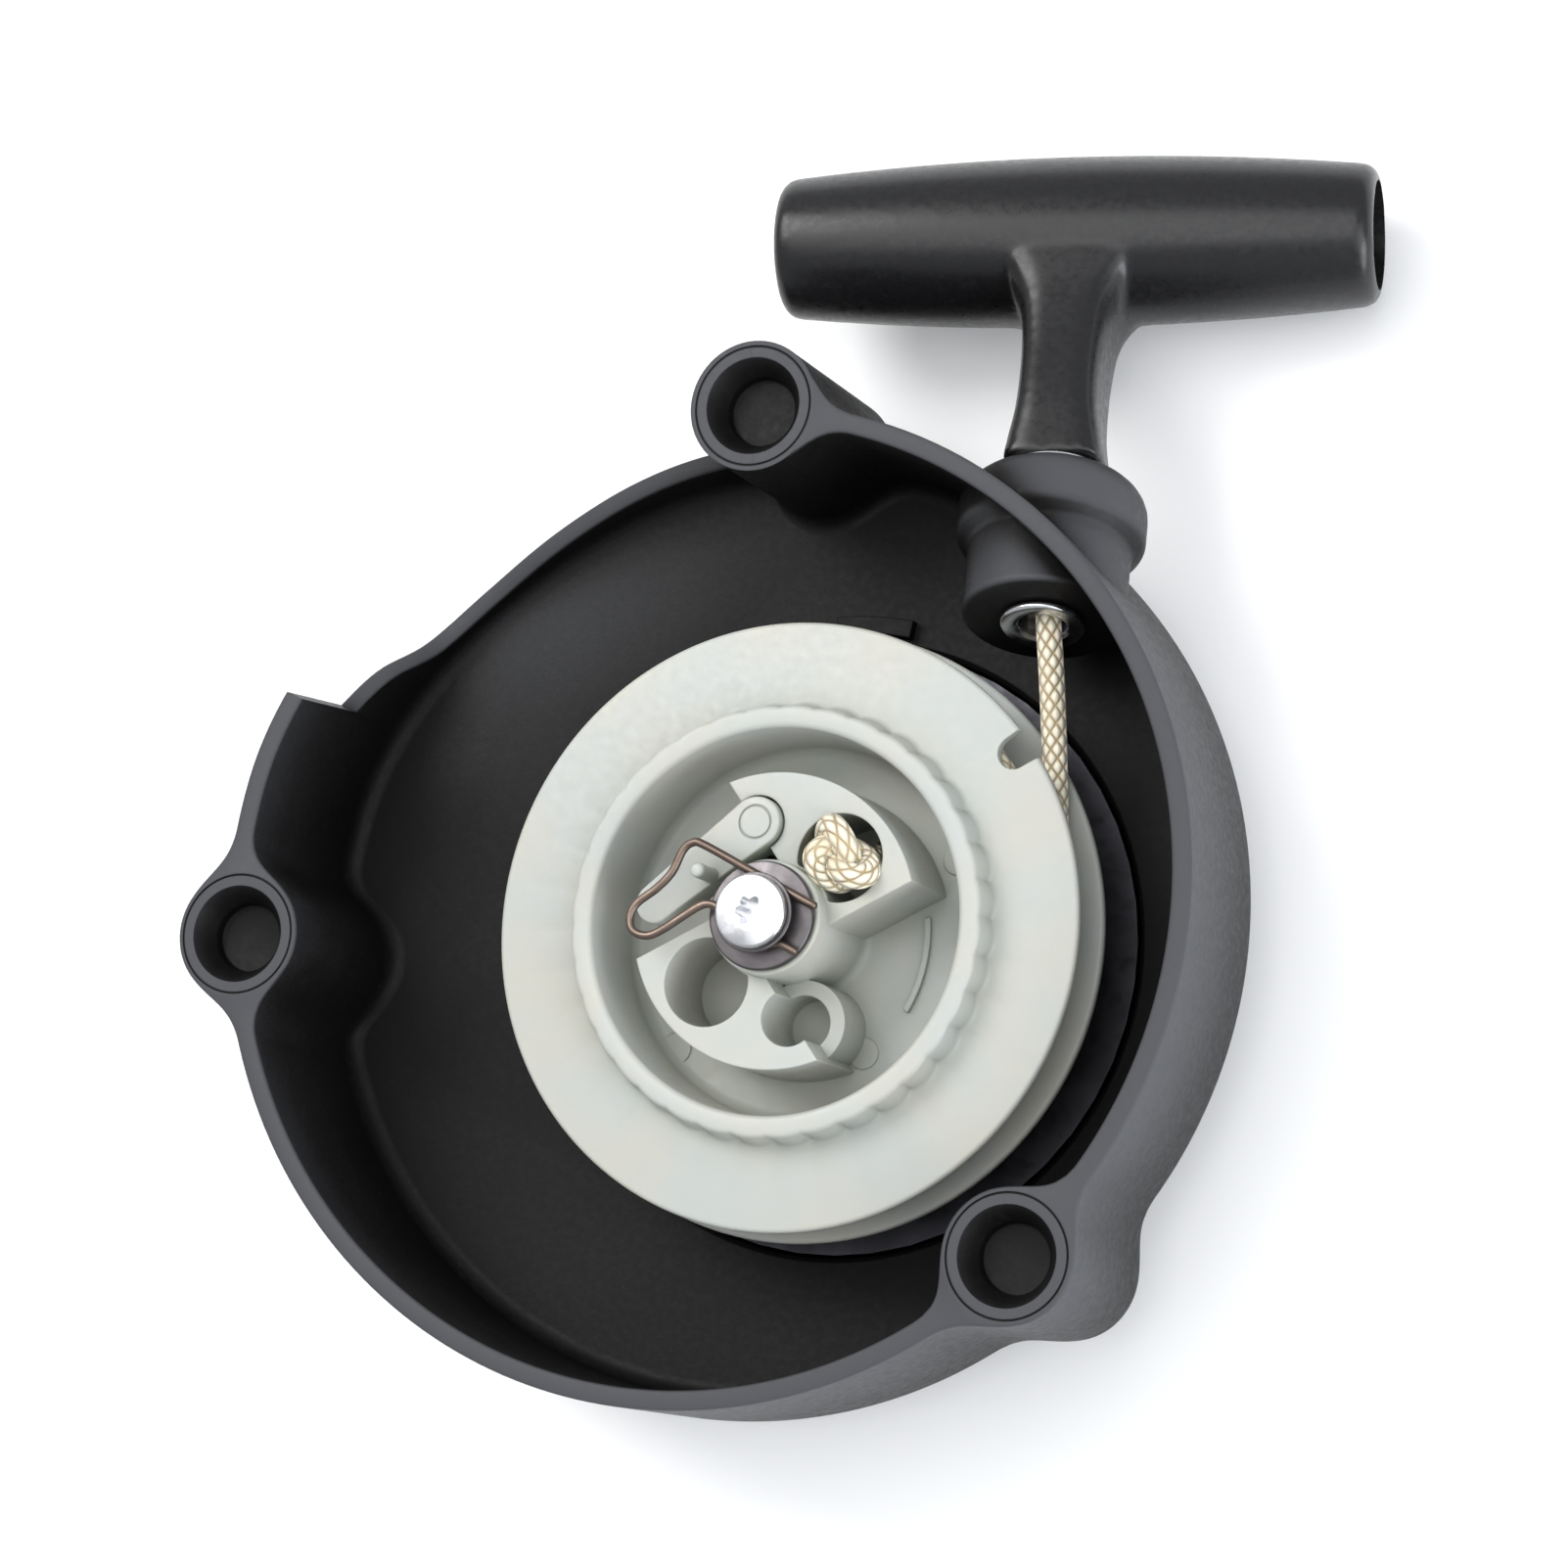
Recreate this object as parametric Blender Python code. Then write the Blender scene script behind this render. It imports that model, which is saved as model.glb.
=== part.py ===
"""Recoil starter of a small petrol engine, modelled in millimetres and stored in metres.

The frame: Z is the rotor's axle and points out of the open side, Z = 0 is the flat back that the
housing lies on, X runs along the pull grip's crossbar and the rope leaves the drum towards +Y.
Heights written as "above the flange" are measured from the front face of the rotor's front flange.
"""

import math

import bmesh
import bpy
import numpy as np
from mathutils import Vector

MM = 0.001

# Clearances.
GAP = 0.3            # between faces of neighbouring pieces
RUNNING = 0.08       # radial clearance of a shaft that turns
SLIP = 0.06          # radial clearance of a pressed or threaded piece

# Housing.
FLANGE_Z = 38.5      # height of the rotor's front flange face above the back
RIM_ABOVE = 7.0      # mounting rim above the flange
FLOOR_BELOW = 23.0   # housing floor below the flange
PLATE = 2.4          # thickness of the back plate
WALL = 2.7           # thickness of the side wall
CORNER = 4.5         # outer round between wall and back plate
FOOT_FILLET = 2.5    # inner fillet between wall and floor
RIGHT_CIRCLE = (-7.5, 4.1, 64.9)     # centre x, centre y, radius of the wall's right part
LEFT_CIRCLE = (-11.0, 3.2, 67.1)     # the same for its left part: the scroll opens to the left
LOWER_CHANGE = (-63.0, -38.0)        # angles between which the left part turns into the right
UPPER_CHANGE = (120.0, 165.0)        # angles between which the right part turns into the left
WELL_R = 41.9        # spring well in the floor
WELL_TAPER = 1.5     # the well and the bulge round it narrow by this much towards the back
WELL_LIP = 0.6       # chamfer at the well's mouth
BULGE_WALL = 2.4     # wall round and under the spring well
BULGE_ROUND = 3.0    # round at the foot of the bulge
POST_R = 4.9         # moulded post that carries the axle sleeve
POST_TOP_ABOVE = 6.5

# Screw bosses, as angle about the axle and distance from it.
BOSSES = ((-52.2, 55.6), (180.5, 76.3), (93.3, 68.65))
CUT_BOSS = 2         # the boss that ends the cut-out: its left side stands free
BOSS_R = 8.85
BOSS_BLEND = 6.0     # width of the concave blend from boss to wall
SOCKET_MOUTH_R = 6.6
SOCKET_FLOOR_R = 4.7
SOCKET_CONE = 3.4    # depth of the socket's cone
SOCKET_DEPTH = 5.0
# The cut-out in the upper left wall: angle, height of the wall's edge above the floor.
CUT_EDGE = ((93.4, 8.5), (108.0, 7.5), (125.0, 5.0), (136.0, 3.2), (144.3, 4.4), (149.4, 10.9),
            (154.4, 14.4))
CUT_STEP = 0.9       # degrees over which the edge climbs to the rim at its left end

# Rope outlet.
OUTLET_X = 33.5
OUTLET_Y = 40.1
OUTLET_BELOW = 4.0   # eyelet centre below the flange
OUTLET_LEAN = 18.0   # degrees that the outlet leans back
OUTLET_YAW = 2.0     # degrees that it turns towards the left
GRIP_TWIST = -8.0    # degrees that the grip hangs turned about the rope
BARREL_R = 10.8
TURRET_R = 12.6
TURRET_START = 10.0
TURRET_LENGTH = 20.0
TURRET_ROUND = 4.4
SPOTFACE_R = 8.7     # flat round the outlet that the wall leaves free
EYELET_FLARE_R = 5.6
EYELET_LIP = 0.9
COLLAR_FLARE_R = 7.7
COLLAR_LIP = 1.3
EYELET_TUBE = 8.0    # length of each eyelet's tube inside the turret

# Rope.
ROPE_R = 1.7
ROPE_SPACING = 2 * ROPE_R + 0.2      # from one turn of the coil to the next
ROPE_HOLE_GAP = 0.45
KNOT_ANGLE = 41.4    # where the knot sits in the rotor
KNOT_R = 12.2        # distance of the knot from the axle
KNOT_ABOVE = 3.9
KNOT_SIZE = (5.3, 4.0, 3.1)
GRIP_KNOT_SIZE = (5.4, 4.2, 4.2)
GRIP_KNOT_SEAT = 0.1
EYELET_BORE_R = ROPE_R + 1.5
EYELET_TUBE_R = EYELET_BORE_R + 0.7
COIL_STEP = 15
COIL_START = 75
COIL_END = 1080
FIRST_CROSSING = (330, 390)          # the first turn moves over to the front
CLIMB = (660, 720)                   # the second turn climbs to the next layer
SECOND_CROSSING = (945, 1005)        # the third turn moves over to the back
# From the drum to the eyelet: x, y, height above the flange.
RUN_START = 1.5
RUN_POINTS = ((0.0, 7.0, 0.0), (0.0, 14.0, 0.1), (-0.15, 22.0, 0.75), (-0.4, 32.0, 1.9))
RUN_OFFSETS = ((0.7, -0.3, 0.0), (0.45, -0.25, 4.0), (0.15, 0.0, 12.0), (0.0, 0.0, 18.0))

# Rotor, heights above the flange.
FLANGE_R = 40.5
FLANGE_THICK = 1.6
GROOVE = 2 * ROPE_SPACING + 0.2      # rope groove between the flanges, two turns wide
BACK_FLANGE_R = 41.1
BACK_FLANGE_THICK = 1.5
DRUM_R = 29.35       # bottom of the rope groove
CUP_R = 25.6
LIP_R = 28.4
LIP_ABOVE = 4.3
CUP_FLOOR_BELOW = 10.3
CUP_FLOOR = 1.7      # thickness of the cup's floor
HUB_R = 7.6
HUB_TOP_ABOVE = 6.9
HUB_SKIN = 0.3       # wall left between the hub and a pocket
BLOCK_R = 19.6       # outer radius of the two pawl blocks
BLOCK_ARC = (14.0, 110.0)
BLOCK_FOOT_ANGLE = 80.0              # where a block's pawl side meets the hub
BLOCK_FOOT_R = 7.0
BLOCK_TOP_ABOVE = 3.9
PIVOT = (-2.5, 12.9)
PAWL_BOSS_R = 3.45
SOCKET_WALL = 2.0    # wall round each pawl socket
SOCKET_RING_BELOW = 2.0
SOCKET_BOTTOM_BELOW = 8.0
KNOT_POCKET_R = 5.9
KNOT_POCKET_AT = 12.1                # distance of the pocket from the axle
FLOOR_HOLE_R = ROPE_R + 1.3
FLOOR_HOLE_AT = 16.0
SLOT_INSET = 0.15    # of the slot from the drum
SLOT_MIDDLES = (40.7, 64.8)          # ends of the rope's way up through the back flange
NOTCH_ANGLE = 35.0
NOTCH_R = 2.2
NOTCH_DEPTH = 4.6
REAR_HUB_R = 12.5
REAR_HUB_GAP = 2.0   # rear hub to the well's floor
HOOK_SLOT = (-11.3, 14.3)            # slot for the spring's hook in the rear hub
HOOK_SLOT_DEPTH = 3.2

# Axle sleeve and screw, heights above the flange.
SLEEVE_R = 6.5
SLEEVE_FLANGE_R = 7.2
SLEEVE_FLANGE = 1.2
NECK_R = 3.88
NECK = 2.45
SLEEVE_RIM_R = 5.3
SLEEVE_RIM = 0.35
SCREW_R = 2.9
SCREW_HEAD_R = 4.88
SCREW_HEAD = 1.15
SCREW_LENGTH = 24.0
RECESS_R = 2.0
RECESS_LOBE_R = 0.55
RECESS_DEPTH = 2.2

# Pawl and its friction clip.
PAWL_TIP = (-16.4, 2.4)
PAWL_TIP_R = 2.6
PAWL_TOP_ABOVE = 5.0
PAWL_ARM = 4.6       # height of the pawl's arm
PEG = (-8.4, 5.9)
PEG_R = 1.0
WIRE_R = 0.56
CLIP_LOOP = ((8.4, 0.6), (-0.2, 5.2), (-7.4, 9.1), (-9.2, 9.5), (-10.5, 8.5), (-11.9, 5.7), (-14.0, 3.6),
             (-16.7, 1.7),
             (-17.6, 0.0), (-17.2, -1.8), (-15.3, -2.6), (-13.1, -1.9), (-8.2, 1.0), (-6.3, 1.35),
             (-5.0, 0.6))
CLIP_WRAP = (186.0, 292.0)           # angles over which the wire hugs the sleeve's neck
CLIP_END = ((3.1, -3.95), (4.4, -4.5), (5.9, -5.3))

# Rewind spring and its cover.
STRIP = 0.8
STRIP_WIDTH = 9.0
SPRING_TURNS = 7.0
SPRING_STEPS = 24    # points in each turn
HOOK = ((9.0, -2.3), (6.5, -1.3), (2.5, -0.2))       # the inner end's hook: angle, height over the hub
COVER_THICK = 1.0
COVER_HOLE_R = 13.4
ANCHOR_ARC = (78.0, 92.0)            # rib on the floor over the spring's outer end
ANCHOR_R = (43.2, 45.6)
ANCHOR_HEIGHT = 1.8

# Pull grip, along the outlet's axis from its foot.
STEM_SECTIONS = ((0.0, 6.9, 6.6), (3.0, 6.4, 7.0), (9.0, 5.5, 7.7), (18.0, 5.5, 8.0), (25.0, 6.6, 8.6),
                 (31.0, 10.5, 9.6),
                 (36.0, 14.0, 9.8))
STEM_SQUARE = 3.2    # exponent of the stem's rounded section
BAR_CENTRE = 37.5
BAR_LENGTH = 82.0
BAR_R = 11.6
BAR_END_R = 9.7
BAR_CHAMFER = 2.2
BAR_BORE_R = 7.4

# Places that follow from the sizes above.
RIM_Z = FLANGE_Z + RIM_ABOVE
FLOOR_Z = FLANGE_Z - FLOOR_BELOW
BACK_Z = FLOOR_Z - PLATE
GROOVE_TOP = FLANGE_Z - FLANGE_THICK
GROOVE_LOW = GROOVE_TOP - GROOVE
ROTOR_BACK = GROOVE_LOW - BACK_FLANGE_THICK
CUP_FLOOR_Z = FLANGE_Z - CUP_FLOOR_BELOW
CUP_BACK = CUP_FLOOR_Z - CUP_FLOOR
COIL_R = DRUM_R + GAP + ROPE_R
RUN_X = COIL_R + ROPE_SPACING
SLOT_MARGIN = math.degrees(1.1 * ROPE_R / COIL_R)
SLOT_ARC = (SLOT_MIDDLES[0] - SLOT_MARGIN, SLOT_MIDDLES[1] + SLOT_MARGIN)
COIL_HIGH = GROOVE_TOP - (GROOVE - ROPE_SPACING) / 2
COIL_LOW = COIL_HIGH - ROPE_SPACING
DROP_UNDER = CUP_BACK - 1.5 * ROPE_R + 0.05         # the rope's centre line below the cup
# From the knot through the cup's floor to the drum: angle, radius and height.
ROPE_DROP = ((KNOT_ANGLE, KNOT_R, FLANGE_Z + 0.4), (KNOT_ANGLE, KNOT_R + 1.0, FLANGE_Z - 3.0),
             (KNOT_ANGLE, KNOT_R + 2.6, FLANGE_Z - 7.0), (KNOT_ANGLE, FLOOR_HOLE_AT, CUP_FLOOR_Z - 0.1),
             (KNOT_ANGLE, FLOOR_HOLE_AT + 1.2, DROP_UNDER + 1.4),
             (KNOT_ANGLE, FLOOR_HOLE_AT + 3.8, DROP_UNDER),
             (KNOT_ANGLE, DRUM_R - 3.75, DROP_UNDER + 0.1), (43.5, COIL_R - 1.95, DROP_UNDER + 0.9),
             (48.0, COIL_R - 0.15, COIL_LOW - 1.5 * ROPE_R - 1.35), (55.0, COIL_R, COIL_LOW - ROPE_R),
             (64.0, COIL_R, COIL_LOW - 0.3))
POST_TOP = FLANGE_Z + POST_TOP_ABOVE
SLEEVE_FOOT = BULGE_WALL + GAP
HUB_TOP = FLANGE_Z + HUB_TOP_ABOVE
COLLAR_FOOT = HUB_TOP + GAP
NECK_FOOT = COLLAR_FOOT + SLEEVE_FLANGE
WIRE_Z = NECK_FOOT + NECK / 2 + 0.4
COLLAR_TOP = NECK_FOOT + NECK + SLEEVE_RIM
HEAD_FOOT = COLLAR_TOP + GAP
HEAD_TOP = HEAD_FOOT + SCREW_HEAD
COVER_Z = FLOOR_Z - GAP - COVER_THICK
SPRING_TOP = COVER_Z - GAP
SPRING_FOOT = SPRING_TOP - STRIP_WIDTH
BORE_R = EYELET_TUBE_R + SLIP
LEAN = math.radians(OUTLET_LEAN)
YAW = math.radians(OUTLET_YAW)
OUT_SIDE = np.array((math.cos(YAW), math.sin(YAW), 0.0))
OUT_DIRECTION = np.array((-math.sin(YAW) * math.cos(LEAN), math.cos(YAW) * math.cos(LEAN), -math.sin(LEAN)))
OUT_NORMAL = np.cross(OUT_SIDE, OUT_DIRECTION)
GRIP_SIDE = math.cos(math.radians(GRIP_TWIST)) * OUT_SIDE + math.sin(math.radians(GRIP_TWIST)) * OUT_NORMAL
GRIP_NORMAL = np.cross(GRIP_SIDE, OUT_DIRECTION)
OUTLET = np.array((OUTLET_X, OUTLET_Y, FLANGE_Z - OUTLET_BELOW))
GRIP_FOOT = TURRET_LENGTH + GAP + COLLAR_LIP + GAP
BAR_AT = GRIP_FOOT + BAR_CENTRE


# Helpers.
def clear_scene():
    for thing in list(bpy.data.objects):
        bpy.data.objects.remove(thing, do_unlink=True)


def finish(name, color, roughness, metallic=0.0):
    """A Principled material of one colour."""
    made = bpy.data.materials.new(name)
    made.use_nodes = True
    shader = made.node_tree.nodes["Principled BSDF"]
    shader.inputs["Base Color"].default_value = (*color, 1.0)
    shader.inputs["Roughness"].default_value = roughness
    shader.inputs["Metallic"].default_value = metallic
    return made


def add_mesh(name, points, faces, material=None, origin=(0.0, 0.0, 0.0)):
    """An object at origin whose mesh has these points, all in millimetres in the part's frame."""
    mesh = bpy.data.meshes.new(name)
    local = (np.asarray(points, float) - np.asarray(origin, float)) * MM
    mesh.from_pydata(local.tolist(), [], [list(face) for face in faces])
    shape = bmesh.new()
    shape.from_mesh(mesh)
    bmesh.ops.remove_doubles(shape, verts=shape.verts, dist=1e-7)
    bmesh.ops.recalc_face_normals(shape, faces=shape.faces)
    shape.to_mesh(mesh)
    shape.free()
    mesh.shade_smooth()
    mesh.set_sharp_from_angle(angle=math.radians(35))
    thing = bpy.data.objects.new(name, mesh)
    thing.location = Vector(origin) * MM
    bpy.context.scene.collection.objects.link(thing)
    if material:
        mesh.materials.append(material)
    return thing


def loft(rings):
    """Points and faces of the closed skin over rings of equally many points, with a flat cap at each end."""
    rings = np.asarray(rings, float)
    count, around, _ = rings.shape
    faces = []
    for level in range(count - 1):
        for k in range(around):
            near, far = level * around + k, level * around + (k + 1) % around
            faces.append((near, far, far + around, near + around))
    faces.append(tuple(range(around))[::-1])
    faces.append(tuple(range((count - 1) * around, count * around)))
    return rings.reshape(-1, 3), faces


def turned(profile, segments=36):
    """Points and faces of a profile of (radius, height) turned about Z: a ring if its ends are away from the axis."""
    profile = np.asarray(profile, float)
    angles = np.linspace(0, 2 * math.pi, segments, endpoint=False)
    points = np.stack([np.outer(profile[:, 0], np.cos(angles)), np.outer(profile[:, 0], np.sin(angles)),
                       np.repeat(profile[:, 1:], segments, axis=1)], axis=-1)
    if profile[0, 0] > 0:
        rows = len(profile)
        faces = [(i * segments + k, i * segments + (k + 1) % segments,
                  (i + 1) % rows * segments + (k + 1) % segments, (i + 1) % rows * segments + k)
                 for i in range(rows) for k in range(segments)]
        return points.reshape(-1, 3), faces
    return loft(points[1:-1])


def arc(centre, radius, start, end, steps):
    """Points of an arc, angles in degrees."""
    angles = np.radians(np.linspace(start, end, steps))
    return [(centre[0] + radius * math.cos(a), centre[1] + radius * math.sin(a)) for a in angles]


def polar(angle, radius):
    return radius * math.cos(math.radians(angle)), radius * math.sin(math.radians(angle))


def prism(outline, low, high):
    """Points and faces of an outline in XY that stands from low to high."""
    ring = np.asarray(outline, float)
    return loft([np.c_[ring, np.full(len(ring), low)], np.c_[ring, np.full(len(ring), high)]])


def placed(shape, centre, low, high, radius, segments=22):
    """A round post of that radius at centre, as a mesh object to join or cut with."""
    outline = arc(centre, radius, 0, 360, segments + 1)[:-1]
    return add_mesh(shape, *prism(outline, low, high))


def along_outlet(points, start=0.0):
    """Points of a shape that is turned about Z, laid along the outlet's axis from start."""
    points = np.asarray(points, float)
    return (OUTLET + points[:, :1] * OUT_SIDE - points[:, 1:2] * OUT_NORMAL
            + (points[:, 2:] + start) * OUT_DIRECTION)


def tool(thing):
    """Marks a piece as a cutter or a piece to be joined, so that it isn't a part itself."""
    thing.hide_render = True
    thing.display_type = "WIRE"
    return thing


def join(thing, other):
    step = thing.modifiers.new("join " + other.name, "BOOLEAN")
    step.operation = "UNION"
    step.solver = "EXACT"
    step.object = tool(other)


def cut(thing, other):
    step = thing.modifiers.new("cut " + other.name, "BOOLEAN")
    step.operation = "DIFFERENCE"
    step.solver = "EXACT"
    step.object = tool(other)


def smooth_curve(points, spacing):
    """Points at about equal spacing on the Catmull-Rom curve through these points."""
    points = np.asarray(points, float)
    ends = np.vstack([2 * points[0] - points[1], points, 2 * points[-1] - points[-2]])
    fine = []
    for k in range(1, len(ends) - 2):
        a, b, c, d = ends[k - 1:k + 3]
        for t in np.linspace(0, 1, 24, endpoint=False):
            fine.append(0.5 * (2 * b + (c - a) * t + (2 * a - 5 * b + 4 * c - d) * t ** 2
                               + (3 * b - a - 3 * c + d) * t ** 3))
    fine = np.array(fine + [points[-1]])
    walked = np.r_[0, np.cumsum(np.linalg.norm(np.diff(fine, axis=0), axis=1))]
    wanted = np.linspace(0, walked[-1], max(2, round(walked[-1] / spacing) + 1))
    return np.stack([np.interp(wanted, walked, fine[:, axis]) for axis in range(3)], axis=1)


def round_wire(name, points, radius, material, origin=(0.0, 0.0, 0.0), resolution=2):
    """A round rod along these points, as a curve with filled ends."""
    curve = bpy.data.curves.new(name, "CURVE")
    curve.dimensions = "3D"
    curve.bevel_depth = radius * MM
    curve.bevel_resolution = resolution
    curve.use_fill_caps = True
    spline = curve.splines.new("POLY")
    spline.points.add(len(points) - 1)
    for place, point in zip(spline.points, (np.asarray(points) - np.asarray(origin)) * MM):
        place.co = (*point, 1.0)
    thing = bpy.data.objects.new(name, curve)
    thing.location = Vector(origin) * MM
    curve.materials.append(material)
    bpy.context.scene.collection.objects.link(thing)
    return thing


# Housing outline.
def step_between(value, low, high):
    """0 below low, 1 above high and smooth between them."""
    share = np.clip((value - low) / (high - low), 0, 1)
    return share * share * (3 - 2 * share)


def circle_distance(angle, circle):
    """Distance from the axle to an off-centre circle, at each angle in radians."""
    x, y, radius = circle
    ahead = x * np.cos(angle) + y * np.sin(angle)
    return ahead + np.sqrt(radius ** 2 - (x * x + y * y - ahead ** 2))


def wall_distance(angle):
    """The scroll of the wall's outer face: two off-centre circles that run into each other."""
    degrees = np.degrees(angle)
    left = np.maximum(1 - step_between(degrees, *LOWER_CHANGE), step_between(degrees, *UPPER_CHANGE))
    return (1 - left) * circle_distance(angle, RIGHT_CIRCLE) + left * circle_distance(angle, LEFT_CIRCLE)


def blended_least(a, b, width):
    """The smaller of two distances, with the corner between them filled over that width."""
    overlap = np.maximum(width - np.abs(a - b), 0) / width
    return np.minimum(a, b) - overlap ** 2 * width / 4


def outline(angle, inner):
    """Distance from the axle to the outer outline, or to the inner one, found by halving the interval."""
    low, high = np.full(len(angle), 0.55 * RIGHT_CIRCLE[2]), np.full(len(angle), 1.6 * LEFT_CIRCLE[2])
    for _ in range(40):
        middle = (low + high) / 2
        value = middle - wall_distance(angle) + (WALL if inner else 0)
        value = -value if inner else value
        for k, (place, distance) in enumerate(BOSSES):
            x, y = polar(place, distance)
            free_side = (k == CUT_BOSS) & (np.degrees(angle) > place)
            width = np.where(free_side, 0.05, BOSS_BLEND)
            radius = BOSS_R - (SLIP if k == CUT_BOSS else 0)
            boss = np.hypot(middle * np.cos(angle) - x, middle * np.sin(angle) - y) - radius
            value = blended_least(value, boss, width)
        outside = value < 0 if inner else value > 0
        low, high = np.where(outside, low, middle), np.where(outside, middle, high)
    return (low + high) / 2


def wall_top(angle):
    """Height of the wall's edge: the rim, or the cut-out's edge in the upper left."""
    degrees = np.degrees(angle)
    places = [place for place, _ in CUT_EDGE]
    edge = np.interp(degrees, places, [FLOOR_Z + height for _, height in CUT_EDGE])
    climb = np.clip((degrees - places[-1]) / CUT_STEP, 0, 1)
    edge = edge + climb * (RIM_Z - edge)
    return np.where(degrees < places[0], RIM_Z, edge)


def outline_angles():
    """Angles round the housing, closer together at the bosses and at the cut-out's end."""
    start = CUT_EDGE[0][0]
    angles = [np.arange(-180, 180, 8.0), np.arange(CUT_EDGE[0][0] - 0.05, start + 0.06, 0.1),
              np.array([place for place, _ in CUT_EDGE]), np.array([CUT_EDGE[-1][0] + CUT_STEP])]
    for place, distance in BOSSES:
        reach = math.degrees((BOSS_R + BOSS_BLEND / 2) / distance)
        angles.append(place + np.linspace(-reach, reach, 13))
    angles = np.concatenate(angles)
    angles = np.unique(np.round(np.where(angles > 180, angles - 360, angles), 2))
    keep = np.r_[True, np.diff(angles) > 0.04]
    return np.radians(angles[keep])


def ring_at(angle, distance, height):
    return np.stack([distance * np.cos(angle), distance * np.sin(angle), height + 0 * angle], axis=1)


def well_radius(height):
    return WELL_R - WELL_TAPER * (FLOOR_Z - WELL_LIP - height) / (FLOOR_Z - WELL_LIP - BULGE_WALL)


def make_housing(plastic):
    angle = outline_angles()
    outer, inner, top = outline(angle, False), outline(angle, True), wall_top(angle)
    rings = [ring_at(angle, outer - CORNER - 6, BACK_Z)]
    for turn in np.radians([0, 45, 90]):
        rings.append(ring_at(angle, outer - CORNER * (1 - math.sin(turn)),
                             BACK_Z + CORNER * (1 - math.cos(turn))))
    rings.append(ring_at(angle, outer, np.maximum(top, BACK_Z + CORNER + GAP)))
    top = np.maximum(top, BACK_Z + CORNER + GAP)
    rings.append(ring_at(angle, inner, top))
    for turn in np.radians([90, 45, 0]):
        rings.append(ring_at(angle, inner - FOOT_FILLET * (1 - math.sin(turn)),
                             FLOOR_Z + FOOT_FILLET * (1 - math.cos(turn))))
    housing = add_mesh("starter_housing", *loft(rings), plastic)

    bulge_r = WELL_R + BULGE_WALL
    foot_r = bulge_r - WELL_TAPER
    bulge = [(0, 0), (foot_r - BULGE_ROUND, 0)]
    bulge += arc((foot_r - BULGE_ROUND, BULGE_ROUND), BULGE_ROUND, -60, 0, 3)
    bulge += [(bulge_r, BACK_Z - 1.5), (bulge_r + 1.5, BACK_Z + PLATE / 2), (0, BACK_Z + PLATE / 2)]
    join(housing, add_mesh("bulge", *turned(bulge, 48)))
    well = [(0, BULGE_WALL), (well_radius(BULGE_WALL), BULGE_WALL), (WELL_R, FLOOR_Z - WELL_LIP),
            (WELL_R + WELL_LIP, FLOOR_Z), (WELL_R + WELL_LIP, FLOOR_Z + 4), (0, FLOOR_Z + 4)]
    cut(housing, add_mesh("well", *turned(well, 48)))
    post = [(0, BULGE_WALL / 2), (POST_R + 3, BULGE_WALL / 2), (POST_R + 3, BULGE_WALL),
            (POST_R, BULGE_WALL + 0.01),
            (POST_R, POST_TOP - 0.4), (POST_R - 0.4, POST_TOP), (0, POST_TOP)]
    join(housing, add_mesh("post", *turned(post, 28)))
    hole = [(0, HEAD_FOOT - SCREW_LENGTH - 2), (SCREW_R + SLIP, HEAD_FOOT - SCREW_LENGTH - 2),
            (SCREW_R + SLIP, POST_TOP + 1), (0, POST_TOP + 1)]
    cut(housing, add_mesh("screw_hole", *turned(hole, 24)))
    rib = arc((0, 0), ANCHOR_R[0], *ANCHOR_ARC, 6) + arc((0, 0), ANCHOR_R[1], *ANCHOR_ARC[::-1], 6)
    join(housing, add_mesh("anchor_rib", *prism(rib, FLOOR_Z - PLATE / 2, FLOOR_Z + ANCHOR_HEIGHT)))

    boss_place = polar(*BOSSES[CUT_BOSS])
    join(housing, placed("free_boss", boss_place, FLOOR_Z - PLATE / 2, RIM_Z - 0.01, BOSS_R, 28))
    turret = [(0, 0), (BARREL_R - 1, 0), (BARREL_R, 1), (BARREL_R, TURRET_START),
              (TURRET_R, TURRET_START + 1.5)]
    turret += arc((TURRET_R - TURRET_ROUND, TURRET_LENGTH - TURRET_ROUND), TURRET_ROUND, 0, 90, 5)
    turret += [(0, TURRET_LENGTH)]
    points, faces = turned(turret, 28)
    join(housing, add_mesh("turret", along_outlet(points), faces))
    points, faces = turned([(0, -5), (BORE_R, -5), (BORE_R, TURRET_LENGTH + 5), (0, TURRET_LENGTH + 5)], 24)
    cut(housing, add_mesh("turret_bore", along_outlet(points), faces))
    points, faces = turned([(0, 0), (SPOTFACE_R, 0), (SPOTFACE_R, 9), (0, 9)], 28)
    cut(housing, add_mesh("collar_spotface", along_outlet(points, TURRET_LENGTH), faces))
    for k, boss in enumerate(BOSSES):
        x, y = polar(*boss)
        socket = [(0, RIM_Z - SOCKET_DEPTH), (SOCKET_FLOOR_R, RIM_Z - SOCKET_DEPTH),
                  (SOCKET_FLOOR_R, RIM_Z - SOCKET_CONE),
                  (SOCKET_MOUTH_R, RIM_Z), (SOCKET_MOUTH_R, RIM_Z + 2), (0, RIM_Z + 2)]
        points, faces = turned(socket, 20)
        cut(housing, add_mesh(f"boss_socket_{k}", points + (x, y, 0), faces))
    return housing


# Rotor and what turns with it.
def block_outline(turn):
    """One pawl block: its outer side an arc, its pawl side straight down to the hub."""
    start, end = (angle + turn for angle in BLOCK_ARC)
    foot = [polar(BLOCK_FOOT_ANGLE + turn, BLOCK_FOOT_R), polar(turn - 10, BLOCK_FOOT_R)]
    return foot + arc((0, 0), BLOCK_R, start, end, 20)


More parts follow.
